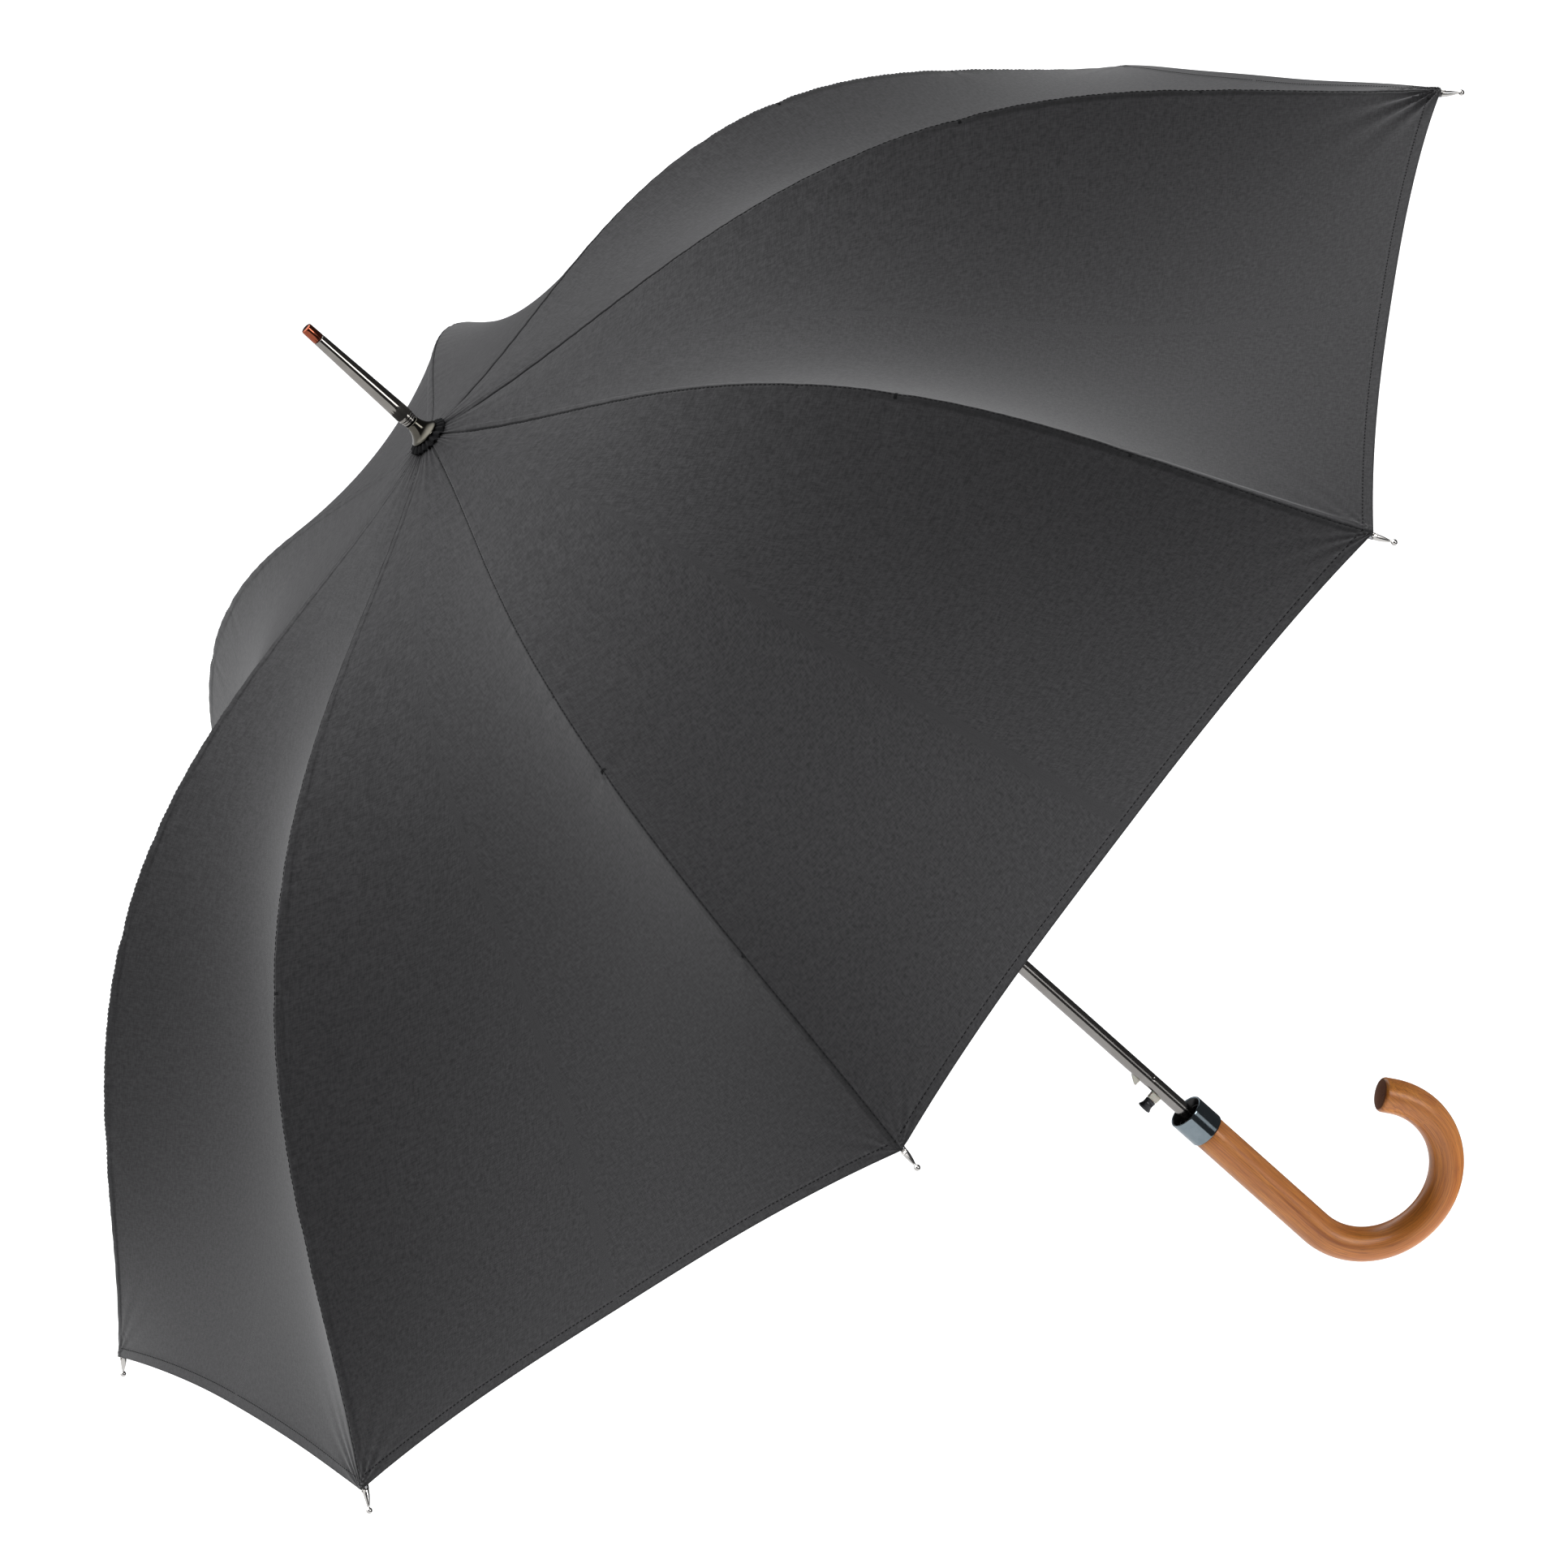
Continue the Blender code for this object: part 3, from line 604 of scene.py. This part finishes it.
def button_cap():
    rings = [(-0.0082, 0.0030, 0.0022), (-0.0084, 0.0033, 0.0025), (-0.0090, 0.0034, 0.0026)]
    rings += [(-0.0104, 0.0032, 0.0025), (-0.0118, 0.0033, 0.0026), (-0.0130, 0.0037, 0.0030)]
    rings += [(-0.0138, 0.0042, 0.0034), (-0.0143, 0.0042, 0.0034), (-0.0147, 0.0038, 0.0030)]
    rings += [(-0.0149, 0.0030, 0.0023), (-0.0150, 0.0016, 0.0012)]
    bm = bmesh.new()
    bmesh.ops.create_circle(bm, cap_ends=True, segments=32, radius=1)
    quarter_turn(bm, "Y", bm.verts)
    round_ = [(v, v.co.z, v.co.y) for v in bm.verts]
    face = bm.faces[:]
    for n, (x, tall, wide) in enumerate(rings):
        if n:
            made = bmesh.ops.extrude_face_region(bm, geom=face)["geom"]
            face = [f for f in made if isinstance(f, bmesh.types.BMFace)]
            verts = verts_in(made)
            _, before_tall, before_wide = rings[n - 1]
            round_ = [
                (v, (v.co.z - CROWN_Z - CAP_H) / before_tall, v.co.y / before_wide) for v in verts
            ]
        for v, z, y in round_:
            v.co = (x, y * wide, CROWN_Z + CAP_H + z * tall)
    bmesh.ops.recalc_face_normals(bm, faces=bm.faces)
    coat = handled(
        "button_plastic", (0.020, 0.020, 0.023), (0.040, 0.040, 0.045), 0.36, 0.0, (700, 700, 700), 0.15
    )
    add_piece("button_cap_moulded", bm, coat, "black_plastic", "release", "button_cap")


release_lever(cream_nylon())
button_cap()


# ---- Runners. The top notch holds the ribs' inner ends on a ring of wire. Two nylon runners slide
# on the tube under it, with an open coil spring between them, and a stop ring ends their travel.
RIB_PIVOT = (0.0080, -0.0100)
UPPER_PIVOT = (0.0115, -0.18325)
LOWER_PIVOT = (0.0115, -0.23569)
SPRING_R, WIRE_R, COILS = 0.0056, 0.00045, 7


def wire_ring(name, radius, h, body, coat):
    """A ring of wire laid through the slots, on which the bars turn."""
    bm = bmesh.new()
    bmesh.ops.create_circle(bm, segments=8, radius=0.0004)
    quarter_turn(bm, "X", bm.verts)
    bmesh.ops.translate(bm, vec=(radius, 0, CROWN_Z + h), verts=bm.verts)
    spin_round(bm, bm.verts[:] + bm.edges[:], 64)
    close_up(bm)
    add_piece(name, bm, coat, "steel", body)


def drive_spring(coat):
    """The wire's round section, spun with a steady rise: seven open coils and closed flat ends."""
    top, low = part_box("drive_spring")[1].z - WIRE_R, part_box("drive_spring")[0].z + WIRE_R
    steps = 28 * COILS
    bm = bmesh.new()
    bmesh.ops.create_circle(bm, segments=8, radius=WIRE_R)
    quarter_turn(bm, "X", bm.verts)
    bmesh.ops.translate(bm, vec=(SPRING_R, 0, low), verts=bm.verts)
    rise = {"cent": (0, 0, 0), "axis": (0, 0, 1), "angle": math.tau * COILS, "steps": steps}
    bmesh.ops.spin(bm, geom=bm.verts[:] + bm.edges[:], dvec=(0, 0, (top - low) / steps), **rise)
    bmesh.ops.holes_fill(bm, edges=[e for e in bm.edges if e.is_boundary])
    bmesh.ops.recalc_face_normals(bm, faces=bm.faces)
    spring = add_piece("drive_spring_coiled", bm, coat, "steel", "upper_runner", "drive_spring")
    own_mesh(spring)


def runners():
    plated = handled(
        "plated_steel", (0.42, 0.42, 0.43), (0.50, 0.50, 0.51), 0.26, 1.0, (700, 700, 700), 0.10
    )
    nylon = handled(
        "runner_nylon", (0.018, 0.018, 0.020), (0.034, 0.034, 0.037), 0.40, 0.0, (500, 500, 500), 0.14
    )
    for node, coat in (("top_notch", plated), ("upper_runner", nylon), ("lower_runner", nylon)):
        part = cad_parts[node]
        part.data.materials.clear()
        part.data.materials.append(coat)
    wire_ring("notch_wire", RIB_PIVOT[0], RIB_PIVOT[1], "stick", plated)
    wire_ring("upper_runner_wire", UPPER_PIVOT[0], UPPER_PIVOT[1], "upper_runner", plated)
    wire_ring("lower_runner_wire", LOWER_PIVOT[0], LOWER_PIVOT[1], "lower_runner", plated)
    stop = UPPER_PIVOT[1] + 0.0045
    ring = [(0.0046, stop + 0.0003), (0.0046, stop + 0.0035), (0.0058, stop + 0.0035)]
    ring += [(0.0062, stop + 0.0031), (0.0062, stop + 0.0007), (0.0058, stop + 0.0003)]
    spun = spin_outline(ring, True)
    add_piece("runner_stop_moulded", spun, nylon, "black_plastic", "stick", "runner_stop")
    drive_spring(plated)
    return plated


STEEL = runners()


# ---- Ribs. Eight fluted steel channels, open below, that bow from the notch to the rim. Each has a
# pressed saddle for its stretcher, and a nickel tip with an eye, a neck and a ball at its end.
RIB_COUNT = len([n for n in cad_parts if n.startswith("canopy_")])
FIRST_RIB = math.radians(-7.6)
STEP = math.tau / RIB_COUNT
RIM_RADIUS = 0.520
RIB_SLOPE = (0.3006, -2.1205, 7.1045, -4.5407)  # slope in radians, a cubic in the share of its length
RIB_DROP = 0.0030
CROWN_HOLE = 0.0056
STRETCHER_PIVOT = (0.25340, -0.05589)
STRUT_PIVOT = (0.09558, -0.13903)
TIES = (0.46, 0.56, 0.78)  # shares of the seam where the cloth is tied to the rib


def seam_lines(count=480):
    """The seam's shares of length, radii, heights and slopes, and its whole length."""
    share = np.linspace(0, 1, count + 1)
    slope = sum(k * share**n for n, k in enumerate(RIB_SLOPE))
    out = np.concatenate(([0], np.cumsum((np.cos(slope[1:]) + np.cos(slope[:-1])) / 2)))
    down = np.concatenate(([0], np.cumsum((np.sin(slope[1:]) + np.sin(slope[:-1])) / 2)))
    run = RIM_RADIUS / out[-1]
    return share, out * run, -down * run, slope, run * count


SHARE, SEAM_R, SEAM_H, SEAM_SLOPE, SEAM_LENGTH = seam_lines()


def seam_at(share):
    return [np.interp(share, SHARE, column) for column in (SEAM_R, SEAM_H, SEAM_SLOPE)]


def share_at(radius):
    return float(np.interp(radius, SEAM_R, SHARE))


def rib_frame(share):
    """Place and direction on the rib's line at a share of the seam: X along it, Z out of the cloth."""
    r, h, slope = (float(x) for x in seam_at(share))
    along = Vector((math.cos(slope), 0, -math.sin(slope)))
    out = Vector((math.sin(slope), 0, math.cos(slope)))
    turn = Matrix((along, Vector((0, 1, 0)), out)).transposed().to_4x4()
    return Matrix.Translation(Vector((r, 0, h)) - RIB_DROP * out) @ turn


def sweep(bm, edges, frames):
    """Draws a profile, made in the first frame, along the others."""
    for before, after in zip(frames, frames[1:]):
        made = bmesh.ops.extrude_edge_only(bm, edges=edges)["geom"]
        verts = verts_in(made)
        bmesh.ops.transform(bm, matrix=after @ before.inverted(), verts=verts)
        edges = [e for e in made if isinstance(e, bmesh.types.BMEdge) and all(v in verts for v in e.verts)]


def rib_place(number):
    return Matrix.Translation((0, 0, CROWN_Z)) @ Matrix.Rotation(FIRST_RIB + STEP * number, 4, "Z")


def rivet(bm, at, aside, length, radius=0.0011):
    """A pin across the rib's plane with a low domed head at each end."""
    half = length / 2
    outline = [(0, half + 0.0005), (0.6 * radius, half + 0.00042), (radius, half + 0.0001), (radius, half)]
    outline += [(0.62 * radius, half)]
    outline += [(r, -y) for r, y in reversed(outline)]
    line = draw_line(bm, [(at[0] + r, aside + y, at[1]) for r, y in outline])
    spin_round(bm, line, 14, cent=(at[0], aside, at[1]), axis=(0, 1, 0))


def rib(number):
    bm = bmesh.new()
    half, wall = 0.0014, 0.0004
    profile = [(-half, -0.0013), (-half, 0.0007), (-0.0009, 0.0013), (0.0009, 0.0013), (half, 0.0007)]
    profile += [(half, -0.0013)]
    shares = [share_at(0.0125) + (1 - share_at(0.0125)) * n / 90 for n in range(91)]
    frames = [rib_frame(s) for s in shares]
    points = [bm.verts.new(frames[0] @ Vector((0, y, z))) for y, z in profile]
    edges = [bm.edges.new(pair) for pair in zip(points, points[1:])]
    sweep(bm, edges, frames)
    bmesh.ops.recalc_face_normals(bm, faces=bm.faces)
    bmesh.ops.solidify(bm, geom=bm.faces[:], thickness=wall)
    inner = frames[0].translation
    hook = Vector((RIB_PIVOT[0], 0, RIB_PIVOT[1]))
    lug(bm, (hook.x, hook.z), (inner.x + 0.004, inner.z - 0.0005), 0.0011, 0.0013)
    foot = rib_frame(share_at(STRETCHER_PIVOT[0])) @ Vector((0, 0, -0.0012))
    for side in (-1, 1):
        lug(bm, STRETCHER_PIVOT, (foot.x, foot.z), 0.0005, 0.0019, side * 0.00195)
    rivet(bm, STRETCHER_PIVOT, 0, 0.0044)
    close_up(bm)
    bmesh.ops.transform(bm, matrix=rib_place(number), verts=bm.verts)
    name = f"rib_{number + 1}"
    add_piece(f"{name}_fluted", bm, STEEL, "steel", name, name)


def lug(bm, first, last, thick, half, aside=0.0):
    """A flat plate in the rib's plane with a round end about each of two pivots."""
    a, b = Vector((first[0], 0, first[1])), Vector((last[0], 0, last[1]))
    along = (b - a).normalized()
    up = Vector((-along.z, 0, along.x))
    rim = []
    for centre, facing in ((a, -1), (b, 1)):
        for n in range(9):
            turn = math.pi * (n / 8 - 0.5)
            rim.append(centre + half * facing * (math.cos(turn) * along + math.sin(turn) * up))
    face = bm.faces.new([bm.verts.new(p + Vector((0, aside - thick / 2, 0))) for p in rim])
    made = bmesh.ops.extrude_face_region(bm, geom=[face], use_keep_orig=True)["geom"]
    moved = verts_in(made)
    bmesh.ops.translate(bm, vec=(0, thick, 0), verts=moved)
    return [face] + [f for f in made if isinstance(f, bmesh.types.BMFace)]


def rib_tip(number, coat):
    """The tip is spun on its own axis and laid along the rib's end; a small ring is its eye."""
    shape = [(0, -0.0004), (0.0016, -0.0002), (0.0017, 0.0006), (0.00165, 0.0030), (0.0013, 0.0056)]
    shape += [(0.0009, 0.0078), (0.00062, 0.0090), (0.00062, 0.0096)]
    ball = [math.pi * (0.12 + 0.88 * n / 9) for n in range(10)]
    shape += [(0.0017 * math.sin(a), 0.0112 - 0.0017 * math.cos(a)) for a in ball]
    bm = bmesh.new()
    spin_round(bm, draw_line(bm, [(d, max(r, 0), 0) for r, d in shape]), 24, axis=(1, 0, 0))
    bmesh.ops.remove_doubles(bm, verts=bm.verts, dist=1e-6)
    eye = bmesh.ops.create_circle(bm, segments=8, radius=0.00042)["verts"]
    quarter_turn(bm, "X", eye)
    bmesh.ops.translate(bm, vec=(0.0021, 0, 0.0016), verts=eye)
    loop = [e for e in bm.edges if all(v in eye for v in e.verts)]
    spin_round(bm, eye + loop, 20, cent=(0.0008, 0, 0.0016))
    close_up(bm)
    bmesh.ops.transform(bm, matrix=rib_place(number) @ rib_frame(1.0), verts=bm.verts)
    name = f"rib_tip_{number + 1}"
    add_piece(f"{name}_pressed", bm, coat, "nickel", f"rib_{number + 1}", name)


def rib_ties(number, coat):
    """Turns of black thread that tie the cloth to the rib."""
    bm = bmesh.new()
    for share in TIES:
        for turn in (-0.0006, 0.0, 0.0006):
            start = bmesh.ops.create_circle(bm, segments=6, radius=0.00028)["verts"]
            loop = [e for e in bm.edges if all(v in start for v in e.verts)]
            quarter_turn(bm, "Z", start)
            bmesh.ops.translate(bm, vec=(turn, 0.0017, 0), verts=start)
            spot = rib_frame(share) @ Matrix.Translation((0, 0, 0.0002))
            spin_round(bm, start + loop, 14, axis=(1, 0, 0))
            new = [v for v in bm.verts if not v.tag]
            bmesh.ops.transform(bm, matrix=spot, verts=new)
            for v in new:
                v.tag = True
    close_up(bm)
    bmesh.ops.transform(bm, matrix=rib_place(number), verts=bm.verts)
    add_piece(f"rib_ties_{number + 1}", bm, coat, "trim", f"rib_{number + 1}")


# ---- Stretchers and struts. Flat steel bars pressed with a flute down each side, riveted to the
# saddle, to each other and to the wires of the two runners.
STRETCHER_SIZE = (0.0024, 0.0034)
STRUT_SIZE = (0.0015, 0.0030)
STRUT_ASIDE = 0.0024


def fluted_bar(name, ends, size, aside, number):
    bm = bmesh.new()
    wide, tall = size
    faces = lug(bm, ends[0], ends[1], wide, tall / 2, aside)
    bmesh.ops.recalc_face_normals(bm, faces=bm.faces)
    sides = [f for f in faces if f.is_valid and abs(f.normal.y) > 0.9 and len(f.verts) > 4]
    bmesh.ops.inset_region(bm, faces=sides, thickness=tall * 0.22, depth=-wide * 0.22)
    rivet(bm, ends[0], aside, wide + 0.0004)
    rivet(bm, ends[1], aside, wide + 0.0002, 0.0009)
    close_up(bm)
    bmesh.ops.transform(bm, matrix=rib_place(number), verts=bm.verts)
    piece = add_piece(f"{name}_pressed", bm, STEEL, "steel", name, name)
    piece.data.set_sharp_from_angle(angle=math.radians(40))


NICKEL = handled(
    "tip_nickel", (0.62, 0.60, 0.575), (0.70, 0.68, 0.66), 0.10, 1.0, (400, 400, 400), 0.06
)
THREAD = trim_cloth("black_thread")
for n in range(RIB_COUNT):
    rib(n)
    rib_tip(n, NICKEL)
    rib_ties(n, THREAD)
    fluted_bar(f"stretcher_{n + 1}", (STRETCHER_PIVOT, UPPER_PIVOT), STRETCHER_SIZE, 0.0, n)
    fluted_bar(f"strut_{n + 1}", (STRUT_PIVOT, LOWER_PIVOT), STRUT_SIZE, STRUT_ASIDE, n)


# ---- Canopy. Black pongee cut in eight gores, joined by felled seams over the ribs, hemmed round
# the rim and stretched tight. The cloth over each rib is one piece, out to the middle of the gores.
GORE_SAG = (0.036, -0.020, -0.0045)
HEM_CUT, HEM_POWER = 0.0155, 2.54
CLOTH = 0.00035
HEM_FOLD = 0.0070
FELL_WIDTH = 0.0046
COLUMNS = 88


def step_up(x, edge, soft):
    """A smooth step from 0 to 1 at an edge."""
    return 0.5 * (1 + np.tanh((x - edge) / soft))


def cloth_places(share, turn):
    """Where points of the cloth lie before its small folds, and what the folds are measured by."""
    rib_near = np.round(turn)
    local = turn - rib_near
    across = np.abs(local)
    side = np.where(local < 0, -1.0, 1.0)
    down = share * (1 - HEM_CUT * (1 - (1 - 2 * across) ** HEM_POWER))
    r, h, slope = seam_at(down)
    here = FIRST_RIB + rib_near * STEP
    there, middle = here + side * STEP, here + side * STEP / 2
    wave = GORE_SAG[0] * np.sin(np.pi * down) + GORE_SAG[1] * np.sin(2 * np.pi * down)
    sag = (wave + GORE_SAG[2] * down**2) * (1 - (1 - 2 * across) ** 2)
    x = r * ((1 - across) * np.cos(here) + across * np.cos(there)) - sag * np.sin(slope) * np.cos(middle)
    y = r * ((1 - across) * np.sin(here) + across * np.sin(there)) - sag * np.sin(slope) * np.sin(middle)
    z = CROWN_Z + h - sag * np.cos(slope)
    turned = here + local * STEP
    out = np.stack((np.sin(slope) * np.cos(turned), np.sin(slope) * np.sin(turned), np.cos(slope)), -1)
    return np.stack((x, y, z), -1), out, r, turned, local * r * STEP, down


def crown_gathers(r, turned):
    """Small radial folds where the gores' points are drawn together under the rosette."""
    near = np.exp(-(np.maximum(r, 0.010) - 0.010) / 0.012)
    far = np.exp(-(np.maximum(r, 0.010) - 0.010) / 0.050)
    small = np.cos(46 * turned + 2 * np.sin(5 * turned))
    broad = np.cos(21 * turned + 1.7 * np.sin(3 * turned)) * np.cos(9 * turned + 0.6)
    return 0.00032 * near * small + 0.00030 * far * broad


def seam_folds(r, beside, down):
    """The felled seam's groove and raised band, the stitches' pull, and the pinch at each tie."""
    shown = step_up(r, 0.030, 0.006)
    groove = -0.00045 * np.exp(-((beside / 0.0007) ** 2))
    band = 0.00045 * (step_up(beside, 0.0006, 0.0003) - step_up(beside, FELL_WIDTH, 0.0004))
    ahead = down * SEAM_LENGTH
    pull = 0.00012 * np.exp(-np.abs(beside) / 0.009) * np.sin(ahead * 430 + 2.4 * np.sin(ahead * 61))
    pinch = 0
    for share, depth in zip(TIES, (0.0003, 0.0006, 0.0006)):
        gap = (down - share) * SEAM_LENGTH
        away = np.hypot(beside, gap)
        rays = np.cos(5 * np.arctan2(gap, np.abs(beside) + 1e-9))
        pinch = pinch - depth * np.exp(-((away / 0.007) ** 2))
        pinch = pinch - 0.45 * depth * np.exp(-away / 0.020) * rays * (1 - np.exp(-((away / 0.004) ** 2)))
    return shown * (groove + band + pull + pinch)


def tip_creases(share, beside, rib_near):
    """Creases that run from a rib's tip into the gore, drawn by the pull on the corner. The cloth
    is pulled hardest on the first rib."""
    back = (1 - share) * SEAM_LENGTH
    away = np.hypot(beside, back)
    turn = np.arctan2(np.abs(beside), back)
    fan = np.cos(15 * turn + 0.5 * np.sign(beside) - 0.4) * np.sin(2 * np.minimum(turn, 1.45)) ** 0.7
    pull = np.where(np.mod(rib_near, RIB_COUNT) == 0, 0.0026, 0.0007)
    return pull * (1 - np.exp(-away / 0.007)) * np.exp(-away / 0.024) * fan


def slack(places, across):
    """Very shallow unevenness of the stretched cloth between the ribs."""
    x, y = places[..., 0], places[..., 1]
    ripple = np.sin(11 * x + 5 * y + 1.0) * np.sin(9 * y - 6 * x + 2.0)
    ripple = ripple + 0.5 * np.sin(27 * x - 12 * y) * np.sin(21 * y + 15 * x + 0.7)
    return 0.0009 * ripple * (1 - (1 - 2 * across) ** 2)


def cloth(share, turn):
    """Points on the canopy's outer face. turn counts gores round the crown from the first rib."""
    places, out, r, turned, beside, down = cloth_places(share, turn)
    across = np.abs(turn - np.round(turn))
    hem = 0.00018 * (1 - step_up((1 - share) * SEAM_LENGTH, HEM_FOLD, 0.0004))
    lift = crown_gathers(r, turned) + seam_folds(r, beside, down)
    lift = lift + tip_creases(share, beside, np.round(turn)) + slack(places, across) + hem
    return places + out * lift[..., None]


def cloth_facing(share, turn, reach=2e-4):
    """Unit normals of the outer face, the same on both sides of the line where two pieces meet."""
    down = cloth(np.minimum(share + reach, 1), turn) - cloth(share - reach, turn)
    round_ = cloth(share, turn + reach) - cloth(share, turn - reach)
    facing = np.cross(down, round_)
    return facing / np.linalg.norm(facing, axis=-1, keepdims=True)


def build_weave_group():
    """Plain weave: crossed warp and weft with uneven yarns, from a place on the cloth in metres."""
    inputs = [("Place", "Vector", (0, 0, 0)), ("Color", "Color", (0.04, 0.04, 0.04, 1))]
    inputs += [("Light", "Color", (0.06, 0.06, 0.06, 1))]
    group, given, gives = new_group("pongee_weave", inputs, [("Color", "Color"), ("Height", "Float")])
    yarns = []
    for stretch in ((1500, 240, 1), (240, 1500, 1), (420, 420, 1)):
        yarns.append(drawn_noise(group, given["Place"], stretch, 2.0))
    yarn = ramp(group, add_up(group, *yarns), 1.15, 1.85, smooth=False)
    group.links.new(mixed(group, yarn, given["Color"], given["Light"]), gives["Color"])
    group.links.new(yarn, gives["Height"])
    return group


WEAVE = build_weave_group()


def pongee():
    """Charcoal-black pongee with a soft sheen, and stitched hems. Its seams are darker: a dark line down
    each seam that is partly the thread and partly painted shade of the seam's groove, and a band of painted
    shadow on one side of each seam, where the cloth turns under the seam's roll, stronger out towards the
    rim.
    """
    finish = {"Specular_IOR_Level": 0.16, "Sheen_Weight": 0.24, "Sheen_Roughness": 0.45}
    made, tree, shader = new_paint("black_pongee", **finish)
    place = add_node(tree, "Attribute", attribute_name="cut").outputs["Vector"]
    yarns = {"Place": place, "Color": (0.019, 0.0185, 0.0195, 1), "Light": (0.036, 0.0352, 0.037, 1)}
    weave = add_node(tree, "Group", yarns, node_tree=WEAVE).outputs
    beside, along, back = add_node(tree, "SeparateXYZ", {"Vector": place}).outputs
    # A dark line down the seam: partly the thread, partly painted shade of the seam's groove.
    seam = ramp(tree, math_node(tree, "ABSOLUTE", beside), 0.0003, 0.0011, 0.80, 0.0)
    brim = ramp(tree, back, 0.0002, 0.0014, 0.6, 0.0)
    # The next four masks paint a band of shadow on the side of each seam where beside is below zero, where
    # the cloth turns under the seam's roll; it grows along the seam towards the rim.
    inside = ramp(tree, beside, -FELL_WIDTH, -0.6 * FELL_WIDTH)
    other = math_node(tree, "LESS_THAN", beside, 0.0002)
    shaded = ramp(tree, along, 0.42 * SEAM_LENGTH, 0.62 * SEAM_LENGTH, 0.0, 0.62)
    roll_shadow = math_node(tree, "MULTIPLY", math_node(tree, "MULTIPLY", inside, other), shaded)
    # The seam's line (thread and painted groove shade), the darker hem edge and the painted shadow band, all
    # mixed towards near-black.
    dark = math_node(tree, "MAXIMUM", math_node(tree, "MAXIMUM", seam, brim), roll_shadow)
    dye = noise(tree, add_node(tree, "TexCoord").outputs["Object"], 7.0, 3.0)
    cast = ramp(tree, dye, 0.0, 1.0, 0.88, 1.12, smooth=False)
    dyed = mixed(tree, 1.0, weave["Color"], cast, "MULTIPLY")
    tree.links.new(mixed(tree, dark, dyed, (0.006, 0.006, 0.0065, 1)), shader.inputs["Base Color"])
    tree.links.new(bumped(tree, weave["Height"], 0.00006, 0.5), shader.inputs["Normal"])
    rough = ramp(tree, weave["Height"], 0.0, 1.0, 0.82, 0.68, smooth=False)
    tree.links.new(rough, shader.inputs["Roughness"])
    return made


def cloth_rows():
    """Shares of the seam for the grid's rows, closer at the crown and along the hem."""
    inner = share_at(CROWN_HOLE)
    edge = 1 - 1.6 * HEM_FOLD / SEAM_LENGTH
    rows = [inner + (0.08 - inner) * (n / 20) for n in range(20)]
    rows += [0.08 + (edge - 0.08) * (n / 150) for n in range(150)]
    rows += [edge + (1 - edge) * (n / 16) for n in range(17)]
    return np.array(rows)


def set_facing(mesh):
    """Gives each corner the cloth's own direction, turned round on the inner face."""
    lie = np.empty(len(mesh.vertices) * 3, np.float32)
    mesh.attributes["lie"].data.foreach_get("vector", lie)
    lie = lie.reshape(-1, 3)
    corners = np.empty((len(mesh.loops), 3), np.float32)
    for face in mesh.polygons:
        flat = np.array(face.normal)
        for corner in face.loop_indices:
            own = lie[mesh.loops[corner].vertex_index]
            match = float(flat @ own)
            corners[corner] = own if match > 0.5 else -own if match < -0.5 else flat
    mesh.normals_split_custom_set(corners.tolist())


def canopy_piece(number, coat):
    rows = cloth_rows()
    spread = np.linspace(-1, 1, COLUMNS + 1)
    turns = number + 0.5 * np.sign(spread) * np.abs(spread) ** 1.7
    share, turn = np.meshgrid(rows, turns, indexing="ij")
    places, facing = cloth(share, turn), cloth_facing(share, turn)
    _, _, _, _, beside, down = cloth_places(share, turn)
    bm = bmesh.new()
    bmesh.ops.create_grid(bm, x_segments=COLUMNS, y_segments=len(rows) - 1, size=1)
    lie = bm.verts.layers.float_vector.new("lie")
    cut = bm.verts.layers.float_vector.new("cut")
    for v in bm.verts:
        i = round((v.co.y + 1) / 2 * (len(rows) - 1))
        j = round((v.co.x + 1) / 2 * COLUMNS)
        v.co = places[i, j]
        v[lie] = facing[i, j]
        v[cut] = (beside[i, j], down[i, j] * SEAM_LENGTH, (1 - share[i, j]) * SEAM_LENGTH)
    made = bmesh.ops.extrude_face_region(bm, geom=bm.faces[:], use_keep_orig=True)["geom"]
    for v in verts_in(made):
        v.co -= v[lie] * CLOTH
    bmesh.ops.recalc_face_normals(bm, faces=bm.faces)
    name = f"canopy_{number + 1}"
    piece = add_piece(f"{name}_cloth", bm, coat, "fabric", f"rib_{number + 1}", name)
    set_facing(piece.data)
    return piece


def stitch_row(name, shares, turns, body):
    """Short stitches of black thread laid end to end on the cloth."""
    places, facing = cloth(shares, turns), cloth_facing(shares, turns)
    bm = bmesh.new()
    for a, b, up in zip(places, places[1:], facing):
        way = Vector(b - a)
        lift = Vector(up)
        side = way.cross(lift).normalized()
        turn = Matrix((way.normalized(), side, lift)).transposed().to_4x4()
        size = Matrix.Diagonal((way.length * 0.38, 0.00030, 0.00022, 1))
        spot = Matrix.Translation(Vector(a + b) / 2 + lift * 0.00008) @ turn @ size
        bmesh.ops.create_icosphere(bm, subdivisions=1, radius=1, matrix=spot)
    bmesh.ops.recalc_face_normals(bm, faces=bm.faces)
    return add_piece(name, bm, THREAD, "trim", body)


def canopy():
    coat = pongee()
    for number in range(RIB_COUNT):
        body = f"rib_{number + 1}"
        piece = canopy_piece(number, coat)
        seam_shares = np.arange(share_at(0.022), 0.994, 0.0030 / SEAM_LENGTH)
        seam_turns = np.full(len(seam_shares), number + 1e-6)
        seam = stitch_row(f"seam_stitches_{number + 1}", seam_shares, seam_turns, body)
        hem_turns = np.linspace(number - 0.495, number + 0.495, 140)
        hem_share = 1 - (HEM_FOLD - 0.0012) / SEAM_LENGTH
        hem = stitch_row(f"hem_stitches_{number + 1}", np.full(140, hem_share), hem_turns, body)
        for part in (piece, seam, hem):
            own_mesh(part)


canopy()
